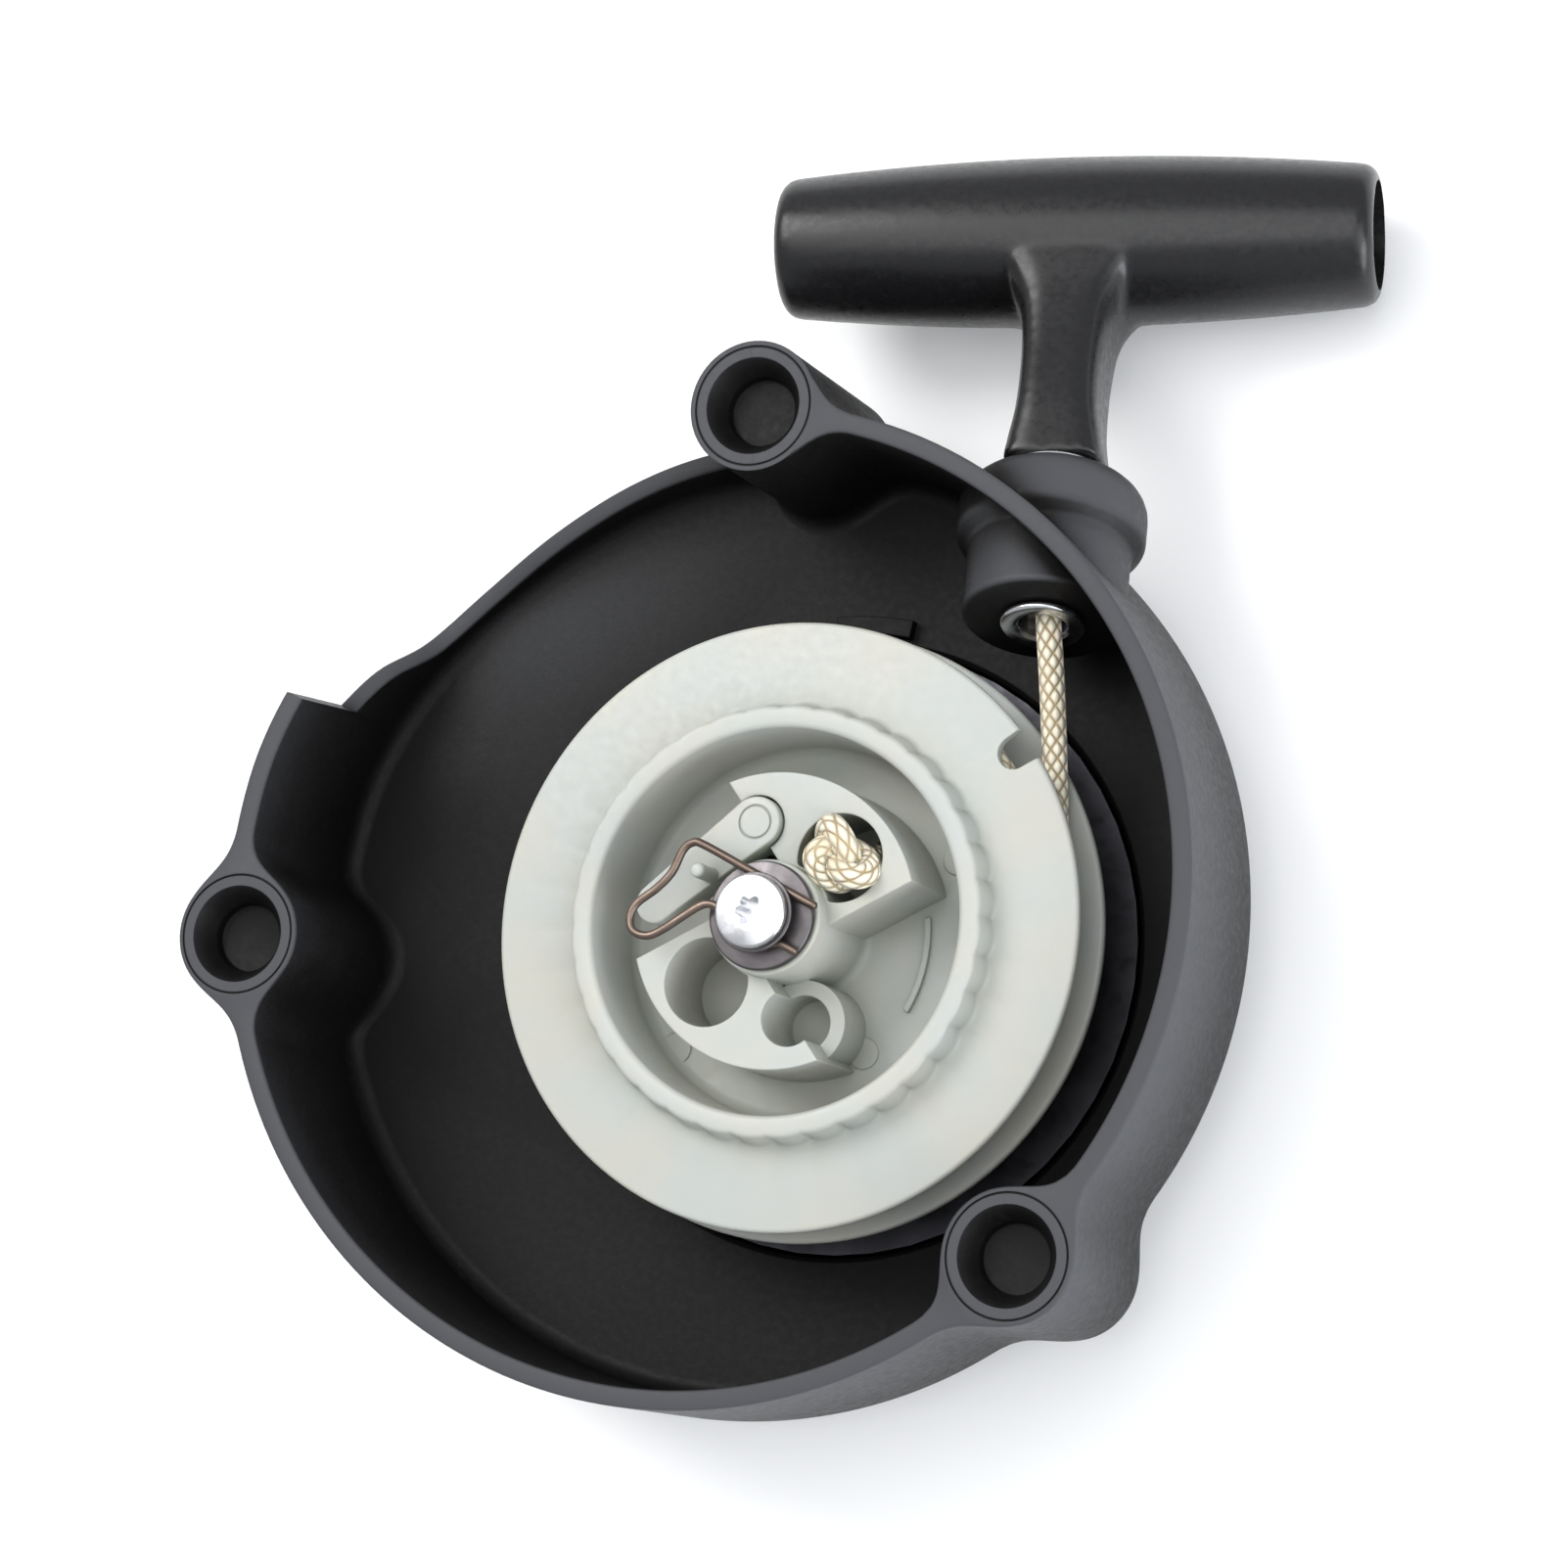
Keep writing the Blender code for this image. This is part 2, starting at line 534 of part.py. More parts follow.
def pocket_outline(turn):
    """The round pocket that takes the knot, kept clear of the hub."""
    round_edge = np.array(arc(polar(KNOT_ANGLE + turn, KNOT_POCKET_AT), KNOT_POCKET_R, 0, 360, 23)[:-1])
    distance = np.hypot(*round_edge.T)
    return round_edge * (np.maximum(distance, HUB_R + HUB_SKIN) / distance)[:, None]


def make_rotor(nylon):
    bore = SLEEVE_R + RUNNING
    rear = BULGE_WALL + REAR_HUB_GAP
    lip_top = FLANGE_Z + LIP_ABOVE
    profile = [(0, rear), (REAR_HUB_R, rear), (REAR_HUB_R, CUP_BACK), (DRUM_R - 1.4, CUP_BACK),
               (DRUM_R, ROTOR_BACK),
               (BACK_FLANGE_R - 0.4, ROTOR_BACK), (BACK_FLANGE_R, ROTOR_BACK + 0.4),
               (BACK_FLANGE_R, GROOVE_LOW),
               (DRUM_R, GROOVE_LOW), (DRUM_R, GROOVE_TOP), (FLANGE_R, GROOVE_TOP),
               (FLANGE_R, FLANGE_Z - 0.3),
               (FLANGE_R - 0.3, FLANGE_Z), (LIP_R, FLANGE_Z), (LIP_R, lip_top - 0.4),
               (LIP_R - 0.4, lip_top),
               (CUP_R, lip_top), (CUP_R, CUP_FLOOR_Z), (HUB_R, CUP_FLOOR_Z), (HUB_R, HUB_TOP), (0, HUB_TOP)]
    rotor = add_mesh("rope_rotor", *turned(profile, 60), nylon)
    socket_r = PAWL_BOSS_R + GAP
    foot, top = CUP_FLOOR_Z - CUP_FLOOR / 2, FLANGE_Z + BLOCK_TOP_ABOVE
    for k, turn in enumerate((0.0, 180.0)):
        centre = (PIVOT[0] * (1 - 2 * k), PIVOT[1] * (1 - 2 * k))
        join(rotor, placed(f"socket_ring_{k}", centre, foot, FLANGE_Z - SOCKET_RING_BELOW,
                           socket_r + SOCKET_WALL))
        join(rotor, add_mesh(f"pawl_block_{k}", *prism(block_outline(turn), foot, top)))
        cut(rotor, placed(f"pawl_socket_{k}", centre, FLANGE_Z - SOCKET_BOTTOM_BELOW, top + 2, socket_r))
        cut(rotor, add_mesh(f"knot_pocket_{k}", *prism(pocket_outline(turn), CUP_FLOOR_Z + 0.6, top + 2)))
    cut(rotor, placed("axle_bore", (0, 0), rear - 1, HUB_TOP + 1, bore, 60))
    hole = polar(KNOT_ANGLE, FLOOR_HOLE_AT)
    cut(rotor, placed("floor_hole", hole, CUP_BACK - 1, CUP_FLOOR_Z + 2, FLOOR_HOLE_R, 16))
    reach = ROPE_R + GAP + 0.1
    slot = arc((0, 0), DRUM_R + SLOT_INSET, *SLOT_ARC, 8) + arc((0, 0), COIL_R + reach, *SLOT_ARC[::-1], 8)
    cut(rotor, add_mesh("rope_slot", *prism(slot, CUP_BACK - 1, GROOVE_LOW + 1)))
    hook = arc((0, 0), REAR_HUB_R - HOOK_SLOT_DEPTH, *HOOK_SLOT, 3) + arc((0, 0), REAR_HUB_R + 1,
            *HOOK_SLOT[::-1], 3)
    cut(rotor, add_mesh("hook_slot", *prism(hook, rear - 1, SPRING_TOP + GAP)))
    x, y = polar(NOTCH_ANGLE, FLANGE_R - NOTCH_DEPTH + NOTCH_R)
    notch = arc((x, y), NOTCH_R, NOTCH_ANGLE + 90, NOTCH_ANGLE + 270, 9)
    mouth = 2 * NOTCH_DEPTH
    notch += [(notch[k][0] + mouth * math.cos(math.radians(NOTCH_ANGLE + tilt)),
               notch[k][1] + mouth * math.sin(math.radians(NOTCH_ANGLE + tilt))) for k,
              tilt in ((-1, -8), (0, 8))]
    cut(rotor, add_mesh("rope_notch", *prism(notch, GROOVE_TOP - 1, FLANGE_Z + 1)))
    return rotor


def make_pawl(nylon):
    """The boss and the tip are two circles with their common tangents, and a peg stands on the arm."""
    (x, y), (u, v) = PIVOT, PAWL_TIP
    reach = math.hypot(u - x, v - y)
    heading = math.degrees(math.atan2(v - y, u - x))
    tangent = math.degrees(math.acos((PAWL_BOSS_R - PAWL_TIP_R) / reach))
    arm = arc(PIVOT, PAWL_BOSS_R, heading + tangent, heading + 360 - tangent, 18)
    arm += arc(PAWL_TIP, PAWL_TIP_R, heading - tangent, heading + tangent, 12)
    top = FLANGE_Z + PAWL_TOP_ABOVE
    pawl = add_mesh("ratchet_pawl", *prism(arm, top - PAWL_ARM, top), nylon, origin=(x, y, top))
    bottom = FLANGE_Z - SOCKET_BOTTOM_BELOW + GAP
    join(pawl, placed("pawl_shank", PIVOT, bottom, top - PAWL_ARM / 2, PAWL_BOSS_R - 0.02))
    join(pawl, placed("pawl_peg", PEG, top - 1, WIRE_Z - WIRE_R + 1.0, PEG_R, 16))
    return pawl


def clip_path():
    """The wire runs in, round the pawl's peg, round the neck and out again, at one height."""
    wrap_r = NECK_R + RUNNING + WIRE_R
    flat = list(CLIP_LOOP) + arc((0, 0), wrap_r, *CLIP_WRAP, 9) + list(CLIP_END)
    return smooth_curve([(x, y, WIRE_Z) for x, y in flat], 1.5)


def make_axle(steel, dark_steel, zinc):
    bore, waist = POST_R + SLIP, SCREW_R + SLIP
    tube = [(bore, SLEEVE_FOOT), (SLEEVE_R, SLEEVE_FOOT), (SLEEVE_R, HUB_TOP), (bore, HUB_TOP)]
    add_mesh("axle_sleeve", *turned(tube), steel)
    collar = [(waist, COLLAR_FOOT), (SLEEVE_FLANGE_R, COLLAR_FOOT), (SLEEVE_FLANGE_R, NECK_FOOT),
              (NECK_R, NECK_FOOT),
              (NECK_R, NECK_FOOT + NECK), (SLEEVE_RIM_R, NECK_FOOT + NECK), (SLEEVE_RIM_R, COLLAR_TOP),
              (waist, COLLAR_TOP)]
    add_mesh("axle_collar", *turned(collar), dark_steel)
    foot = HEAD_FOOT - SCREW_LENGTH
    profile = [(0, foot), (SCREW_R - 0.5, foot), (SCREW_R, foot + 1), (SCREW_R, HEAD_FOOT),
               (SCREW_HEAD_R, HEAD_FOOT),
               (SCREW_HEAD_R, HEAD_TOP - 0.35), (SCREW_HEAD_R - 0.4, HEAD_TOP), (0, HEAD_TOP)]
    screw = add_mesh("retaining_screw", *turned(profile, 28), zinc)
    turn = np.linspace(0, 2 * math.pi, 48, endpoint=False)
    lobes = RECESS_R - RECESS_LOBE_R * (0.5 - 0.5 * np.cos(6 * turn))
    recess = np.stack([lobes * np.cos(turn), lobes * np.sin(turn)], axis=1)
    cut(screw, add_mesh("six_lobe_recess", *prism(recess, HEAD_TOP - RECESS_DEPTH, HEAD_TOP + 1)))


def make_spring(spring_steel, cover_steel):
    """A flat strip wound in a spiral that tightens as the rotor pays out rope, hooked into the rotor's rear hub."""
    steps = round(SPRING_TURNS * SPRING_STEPS)
    turn = -np.linspace(0, 2 * math.pi * SPRING_TURNS, steps)
    inner = REAR_HUB_R + GAP + STRIP / 2
    radius = np.linspace(inner, well_radius(SPRING_FOOT) - GAP - STRIP / 2, steps)
    hook = [polar(angle, REAR_HUB_R + over) for angle, over in HOOK]
    spiral = np.stack([radius * np.cos(turn), radius * np.sin(turn)], axis=1)[1:]
    line = np.vstack([hook, spiral])
    ahead = np.gradient(line, axis=0)
    side = np.stack([-ahead[:, 1], ahead[:, 0]], axis=1) / np.linalg.norm(ahead, axis=1)[:,
            None] * STRIP / 2
    low, high = np.full(len(line), SPRING_FOOT), np.full(len(line), SPRING_TOP)
    rings = np.stack([np.c_[line - side, low], np.c_[line + side, low], np.c_[line + side, high],
                      np.c_[line - side, high]],
                     axis=1)
    add_mesh("rewind_spring", *loft(rings), spring_steel)
    edge = well_radius(COVER_Z) - GAP
    cover = [(COVER_HOLE_R, COVER_Z), (edge, COVER_Z), (edge, COVER_Z + COVER_THICK),
             (COVER_HOLE_R, COVER_Z + COVER_THICK)]
    add_mesh("spring_cover", *turned(cover, 48), cover_steel)


# Rope and its fittings.
def lump(name, centre, axes, sizes, material, origin):
    """A rounded body with these half sizes along these axes: the outer shape of a knot."""
    shape = bmesh.new()
    bmesh.ops.create_icosphere(shape, subdivisions=3, radius=1.0)
    points = np.array([vert.co for vert in shape.verts])
    faces = [[vert.index for vert in face.verts] for face in shape.faces]
    shape.free()
    return add_mesh(name, np.asarray(centre) + points * sizes @ np.asarray(axes), faces, material, origin)


def coil_path():
    """Three turns in two layers, each turn beside or on top of the one before, and a short straight end."""
    drop = [(*polar(angle, radius), height) for angle, radius, height in ROPE_DROP]
    angle = np.arange(COIL_START, COIL_END + 1, COIL_STEP)
    layer = step_between(angle, *CLIMB)
    forward = step_between(angle, *FIRST_CROSSING) - step_between(angle, *SECOND_CROSSING)
    radius = COIL_R + ROPE_SPACING * layer
    turn = np.radians(angle)
    coil = np.stack([radius * np.cos(turn), radius * np.sin(turn), COIL_LOW + ROPE_SPACING * forward],
                    axis=1)
    return np.vstack([drop, coil, (RUN_X, RUN_START - GAP, COIL_LOW)])


def make_rope(braid):
    along = np.array((*polar(KNOT_ANGLE, 1.0), 0.0))
    across = np.array((-along[1], along[0], 0.0))
    upright = np.array((0.0, 0.0, 1.0))
    knot_at = along * KNOT_R + upright * (FLANGE_Z + KNOT_ABOVE)
    lump("rotor_knot", knot_at, (across, along, upright), KNOT_SIZE, braid, (0.0, 0.0, 0.0))
    round_wire("rope_coil", coil_path(), ROPE_R, braid)
    run = [(RUN_X, RUN_START, COIL_LOW)] + [(RUN_X + x, y, COIL_LOW + z) for x, y, z in RUN_POINTS]
    run += [OUTLET + x * OUT_SIDE + n * OUT_NORMAL + t * OUT_DIRECTION for x, n, t in RUN_OFFSETS]
    run.append(OUTLET + (GRIP_FOOT - GAP / 2) * OUT_DIRECTION)
    round_wire("rope_run", smooth_curve(run, 3.5), ROPE_R, braid)
    start, end = GRIP_FOOT + GAP / 2, BAR_AT - BAR_BORE_R + GRIP_KNOT_SEAT - GAP
    foot = OUTLET + GRIP_FOOT * OUT_DIRECTION
    pull = OUTLET + np.outer(np.linspace(start, end, 8), OUT_DIRECTION)
    round_wire("rope_pull", pull, ROPE_R, braid, origin=foot)
    centre = OUTLET + (BAR_AT - BAR_BORE_R + GRIP_KNOT_SEAT + GRIP_KNOT_SIZE[1]) * OUT_DIRECTION
    lump("grip_knot", centre, (GRIP_SIDE, OUT_DIRECTION, GRIP_NORMAL), GRIP_KNOT_SIZE, braid, foot)


def fitting(name, flange_r, lip, low, high, metal):
    """A flanged bush in the turret's bore: its flange at low, its tube from there to high."""
    side = 1 if high > low else -1
    tube = EYELET_TUBE_R - SLIP
    outer = low - side * lip
    roll = lip / 2
    profile = [(EYELET_BORE_R, high), (EYELET_BORE_R, low)]
    profile += [(EYELET_BORE_R + roll * (1 - math.cos(a)), low - side * (lip - roll + roll * math.sin(a)))
                for a in (0.0, 0.8, math.pi / 2)]
    profile += [(flange_r - roll, outer), (flange_r - 0.3 * roll, outer + side * 0.3 * roll),
                (flange_r, outer + side * roll),
                (flange_r, low), (tube, low), (tube, high)]
    points, faces = turned(profile, 28)
    return add_mesh(name, along_outlet(points), faces, metal)


# Pull grip.
def grip_point(x, n, t):
    return OUTLET + x * GRIP_SIDE + n * GRIP_NORMAL + (GRIP_FOOT + t) * OUT_DIRECTION


def make_grip(plastic):
    """A crossbar on a stem: the bar is fattest in the middle and hollow, the stem spreads into it."""
    foot = OUTLET + GRIP_FOOT * OUT_DIRECTION
    half = BAR_LENGTH / 2
    swell = np.linspace(-1, 1, 11)
    radii = BAR_END_R + (BAR_R - BAR_END_R) * (1 - swell ** 2)
    profile = [(0, -half), (BAR_END_R - BAR_CHAMFER, -half)]
    profile += [(BAR_END_R - BAR_CHAMFER * 0.3, -half + BAR_CHAMFER * 0.3)]
    profile += list(zip(radii, swell * (half - BAR_CHAMFER)))
    profile += [(BAR_END_R - BAR_CHAMFER * 0.3, half - BAR_CHAMFER * 0.3), (BAR_END_R - BAR_CHAMFER, half),
                (0, half)]
    points, faces = turned(profile, 32)
    bar = np.array([grip_point(z, x, BAR_CENTRE + y) for x, y, z in points])
    grip = add_mesh("pull_grip", bar, faces, plastic, origin=foot)
    angle = np.linspace(0, 2 * math.pi, 32, endpoint=False)
    cosine, sine = np.cos(angle), np.sin(angle)
    square = 2 / STEM_SQUARE
    rings = [[grip_point(half_x * np.sign(c) * abs(c) ** square, half_n * np.sign(s) * abs(s) ** square, t)
              for c, s in zip(cosine, sine)] for t, half_x, half_n in STEM_SECTIONS]
    join(grip, add_mesh("grip_stem", *loft(rings)))
    points, faces = turned([(0, -half - 5), (BAR_BORE_R, -half - 5), (BAR_BORE_R, half + 5), (0, half + 5)],
                           24)
    cut(grip, add_mesh("bar_bore", np.array([grip_point(z, x, BAR_CENTRE + y) for x, y, z in points]),
                       faces))
    hole = ROPE_R + ROPE_HOLE_GAP
    points, faces = turned([(0, -5), (hole, -5), (hole, BAR_CENTRE), (0, BAR_CENTRE)], 20)
    cut(grip, add_mesh("rope_way", along_outlet(points, GRIP_FOOT), faces))
    return grip


def main():
    clear_scene()
    black_plastic = finish("black_plastic", (0.022, 0.023, 0.024), 0.55)
    grip_plastic = finish("grip_plastic", (0.012, 0.012, 0.013), 0.38)
    nylon = finish("natural_nylon", (0.60, 0.64, 0.60), 0.45)
    braid = finish("braided_rope", (0.72, 0.66, 0.52), 0.85)
    bright_zinc = finish("bright_zinc", (0.80, 0.80, 0.82), 0.25, 1.0)
    dark_steel = finish("dark_steel", (0.10, 0.09, 0.10), 0.45, 1.0)
    steel = finish("bare_steel", (0.45, 0.45, 0.46), 0.40, 1.0)
    bronze_wire = finish("bronze_wire", (0.22, 0.14, 0.10), 0.35, 1.0)
    spring_steel = finish("spring_steel", (0.20, 0.21, 0.24), 0.35, 1.0)
    make_housing(black_plastic)
    make_spring(spring_steel, steel)
    make_axle(steel, dark_steel, bright_zinc)
    make_rotor(nylon)
    make_pawl(nylon)
    round_wire("friction_clip", clip_path(), WIRE_R, bronze_wire)
    make_rope(braid)
    fitting("rope_eyelet", EYELET_FLARE_R, EYELET_LIP, -GAP, EYELET_TUBE, bright_zinc)
    fitting("eyelet_collar", COLLAR_FLARE_R, COLLAR_LIP, TURRET_LENGTH + GAP, TURRET_LENGTH - EYELET_TUBE,
            bright_zinc)
    make_grip(grip_plastic)


main()
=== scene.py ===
"""Looks of the recoil starter: fine surfaces, procedural finishes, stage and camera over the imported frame."""

import math

import bmesh
import bpy
import numpy as np
from mathutils import Matrix, Vector


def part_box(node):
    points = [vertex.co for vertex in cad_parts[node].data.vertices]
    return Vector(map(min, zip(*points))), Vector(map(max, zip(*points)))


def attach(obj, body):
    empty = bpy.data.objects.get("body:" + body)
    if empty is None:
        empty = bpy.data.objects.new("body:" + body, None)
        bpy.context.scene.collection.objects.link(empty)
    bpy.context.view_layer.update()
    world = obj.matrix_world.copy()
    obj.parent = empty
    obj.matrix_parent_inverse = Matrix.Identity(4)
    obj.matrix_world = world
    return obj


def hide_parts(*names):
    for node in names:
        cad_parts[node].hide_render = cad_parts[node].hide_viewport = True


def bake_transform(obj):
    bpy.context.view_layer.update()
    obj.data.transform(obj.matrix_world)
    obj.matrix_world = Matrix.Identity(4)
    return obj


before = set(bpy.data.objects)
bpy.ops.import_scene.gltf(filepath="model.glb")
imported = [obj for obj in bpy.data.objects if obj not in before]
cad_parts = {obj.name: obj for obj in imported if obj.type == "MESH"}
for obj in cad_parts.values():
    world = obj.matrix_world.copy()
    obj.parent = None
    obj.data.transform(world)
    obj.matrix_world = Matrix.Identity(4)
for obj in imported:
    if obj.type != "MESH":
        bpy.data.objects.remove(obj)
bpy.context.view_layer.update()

bl_info = {
    "name": "Recoil starter",
    "version": (1, 0, 0),
    "blender": (4, 5, 0),
    "location": "3D View > Sidebar > Starter",
    "description": "Builds the visible surfaces and finishes of a recoil starter on its packed frame",
    "category": "Object",
}

MM = 0.001


def top_of(node):
    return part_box(node)[1].z / MM


def low_of(node):
    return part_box(node)[0].z / MM


# Heights and sizes, in millimetres, that follow from the frame.
RIM_Z = top_of("starter_housing")
FLANGE_Z = RIM_Z - 7.0
FLOOR_Z = FLANGE_Z - 23.0
HUB_TOP = top_of("rope_rotor")
NECK_FOOT = HUB_TOP + 1.5
COLLAR_TOP = top_of("axle_collar")
HEAD_TOP = top_of("retaining_screw")
CUP_FLOOR_Z = FLANGE_Z - 10.3
LIP_HEIGHT = 4.3
BLOCK_TOP = FLANGE_Z + 3.9
PAWL_TOP = FLANGE_Z + 5.0
ROTOR_LOW = low_of("rope_rotor")

# Rope outlet: its place and its axes.
LEAN = math.radians(18.0)
YAW = math.radians(2.0)
TWIST = math.radians(-8.0)
OUTLET = np.array((33.5, 40.1, FLANGE_Z - 4.0))
OUT_SIDE = np.array((math.cos(YAW), math.sin(YAW), 0.0))
OUT_ALONG = np.array((-math.sin(YAW) * math.cos(LEAN), math.cos(YAW) * math.cos(LEAN), -math.sin(LEAN)))
OUT_NORMAL = np.cross(OUT_SIDE, OUT_ALONG)
GRIP_SIDE = math.cos(TWIST) * OUT_SIDE + math.sin(TWIST) * OUT_NORMAL
GRIP_NORMAL = np.cross(GRIP_SIDE, OUT_ALONG)
TURRET_LENGTH = 20.0
GRIP_FOOT = TURRET_LENGTH + 1.9
BAR_AT = GRIP_FOOT + 37.5
BAR_LENGTH = 82.0
BAR_END_R = 9.7
BAR_SWELL = 1.9
BAR_EDGE = 2.2
BAR_BORE_R = 7.4

# Housing: angle about the axle and distance of each screw boss, and the wall.
BOSSES = ((-52.2, 55.6), (180.5, 76.3), (93.3, 68.65))
BOSS_R = 8.85
RIGHT_CIRCLE = (-7.5, 4.1, 64.9)
LEFT_CIRCLE = (-11.0, 3.2, 67.1)
WALL = 2.7
PLATE = 2.4
CORNER = 4.5
WELL_R = 41.9
POST_R = 4.9
SCREW_BORE_R = 2.96
CUT_EDGE = ((93.4, 8.5), (108.0, 7.5), (125.0, 5.0), (136.0, 3.2), (144.3, 4.4), (149.4, 10.9),
            (154.4, 14.4))
CUT_STEP = 0.9

# Rotor and axle hardware.
FLANGE_R = 40.5
CUP_R = 25.6
LIP_R = 28.4
DRUM_R = 29.35
HUB_R = 7.6
BORE_R = 6.58
BLOCK_R = 19.6
PIVOT = (-2.5, 12.9)
PAWL_BOSS_R = 3.45
PAWL_TIP = (-16.4, 2.4)
PAWL_TIP_R = 2.6
PEG = (-8.4, 5.9)
KNOT_ANGLE = 41.4
KNOT_AT = 12.1
POCKET_R = 5.9
NECK_R = 3.88
COLLAR_R = 7.2
SLEEVE_R = 6.5

# Rope and wire.
ROPE_R = 1.7
COIL_R = DRUM_R + 0.3 + ROPE_R
ROPE_SPACING = 3.6
COIL_LOW = FLANGE_Z - 7.1
RUN_X = COIL_R + ROPE_SPACING
ROPE_DROP = ((41.4, 12.2, 0.4), (41.4, 13.2, -3.0), (41.4, 14.8, -7.0), (41.4, 16.0, -10.4),
             (41.4, 17.2, -13.1), (41.4, 19.8, -14.5), (41.4, 25.6, -14.4), (43.5, 29.4, -13.6),
             (48.0, 31.2, -11.0), (55.0, 31.35, -8.8), (64.0, 31.35, -7.4))
RUN_POINTS = ((0.0, 1.3, 0.0), (0.0, 7.0, 0.0), (0.0, 14.0, 0.1), (-0.15, 22.0, 0.75), (-0.4, 32.0, 1.9))
RUN_OFFSETS = ((0.7, -0.3, 0.0), (0.45, -0.25, 4.0), (0.15, 0.0, 12.0))
WIRE_R = 0.56
WIRE_Z = NECK_FOOT + 1.625
CLIP_LOOP = ((8.4, 0.6), (-0.2, 5.2), (-7.4, 9.1), (-9.2, 9.5), (-10.5, 8.5), (-11.9, 5.7), (-14.0, 3.6),
             (-16.7, 1.7), (-17.6, 0.0), (-17.2, -1.8), (-15.3, -2.6), (-13.1, -1.9), (-8.2, 1.0),
             (-6.3, 1.35), (-5.0, 0.6))

# Grip's stem: distance from its foot, half width and half depth.
STEM = ((0.0, 6.9, 6.6), (3.0, 6.4, 7.0), (9.0, 5.5, 7.7), (18.0, 5.5, 8.0), (25.0, 6.6, 8.6),
        (31.0, 10.5, 9.6), (36.0, 14.0, 9.8))

# Stage: name, place, diameter, power and colour of each light, and the camera's axes.
LIGHTS = (("key", (-0.55, 0.55, 1.0), 0.7, 9.0, (1.0, 0.99, 0.97)),
          ("fill", (0.9, -0.3, 0.8), 0.9, 5.0, (0.93, 0.96, 1.0)),
          ("side", (1.1, -0.6, 0.22), 0.9, 14.0, (0.93, 0.96, 1.0)),
          ("top", (0.1, 0.1, 1.3), 1.1, 7.0, (1.0, 1.0, 1.0)))
WORLD_STRENGTH = 0.62
CAMERA_AXES = ((0.936, 0.031, -0.350), (0.031, 0.985, 0.169), (0.350, -0.169, 0.921))
CAMERA_PLACE = (0.2259, -0.0906, 0.6343)
FOCAL_LENGTH = 112.6
SENSOR_WIDTH = 36.0


class StarterSizes(bpy.types.PropertyGroup):
    """Sizes of the details that scene.py adds, in millimetres."""

    scallops: bpy.props.IntProperty(
        name="Lip scallops", description="Scallops round the drum's lip", default=36)
    scallop_depth: bpy.props.FloatProperty(
        name="Scallop depth", description="Depth of a scallop in millimetres", default=0.8)
    witness: bpy.props.FloatProperty(
        name="Witness ring", description="Depth of the ring round a screw boss in millimetres", default=0.18)
    edge_round: bpy.props.FloatProperty(
        name="Edge round", description="Rounding of moulded edges in millimetres", default=0.35)
    braid_diamonds: bpy.props.IntProperty(
        name="Braid diamonds", description="Diamonds round the rope", default=6)
    braid_pitch: bpy.props.FloatProperty(
        name="Braid pitch", description="Length of one diamond in millimetres", default=2.3)


def colour_of(name, description, default):
    return bpy.props.FloatVectorProperty(
        name=name, description=description, default=default, subtype="COLOR", size=3)


class StarterColours(bpy.types.PropertyGroup):
    """Colours of the starter's finishes."""

    housing: colour_of("Housing", "Black moulded plastic", (0.0056, 0.0050, 0.0050))
    grip: colour_of("Grip", "Satin black plastic", (0.0060, 0.0060, 0.0066))
    nylon: colour_of("Nylon", "Natural nylon", (0.405, 0.425, 0.405))
    # Painted shade: the darker colour laid in the nylon's deep corners.
    nylon_painted_shade: colour_of("Nylon pits", "Nylon in deep corners", (0.29, 0.31, 0.26))
    rope: colour_of("Rope", "Cream braid", (0.86, 0.80, 0.64))
    # Painted shade: the darker colour laid between the braid's strands.
    rope_gap_shade: colour_of("Rope gaps", "Between the strands", (0.36, 0.27, 0.14))
    wire: colour_of("Wire", "Bronze-coloured spring wire", (0.19, 0.145, 0.12))
    collar: colour_of("Collar", "Dark steel", (0.13, 0.12, 0.125))
    zinc: colour_of("Zinc", "Bright zinc plate", (0.66, 0.67, 0.69))


# Mesh helpers. A point array is in millimetres in the frame.
def grid_faces(rows, cols, close_rows, close_cols):
    """Quads between neighbouring grid points, wrapped where a direction is closed."""
    row, col = np.mgrid[:rows - (not close_rows), :cols - (not close_cols)]
    below, right = (row + 1) % rows, (col + 1) % cols
    corners = [row * cols + col, row * cols + right, below * cols + right, below * cols + col]
    return np.stack(corners, -1).reshape(-1, 4)


def surface(name, points, closed=(False, True), caps=False, uv_scale=None, sharp=38):
    """A mesh over a grid of points of shape (rows, columns, 3). With caps, an n-gon closes the first and
    the last row. With uv_scale = (u, v), corner (i, j) gets the UV (u * j / columns, v * i)."""
    rows, cols, _ = points.shape
    faces = grid_faces(rows, cols, *closed)
    mesh = bpy.data.meshes.new(name)
    ends = [list(range(cols))[::-1], list(range((rows - 1) * cols, rows * cols))] if caps else []
    mesh.from_pydata((points.reshape(-1, 3) * MM).tolist(), [], faces.tolist() + ends)
    if uv_scale is not None:
        row, col = np.divmod(faces[:, 0], cols)
        u = np.stack([col, col + 1, col + 1, col], 1) / cols * uv_scale[0]
        v = np.stack([row, row, row + 1, row + 1], 1) * uv_scale[1]
        values = np.stack([u, v], -1).reshape(-1, 2)
        layer = mesh.uv_layers.new(name="along")
        every = np.zeros((len(mesh.loops), 2))
        every[:len(values)] = values
        layer.data.foreach_set("uv", every.ravel().astype(np.float32))
    return settled(name, mesh, sharp)


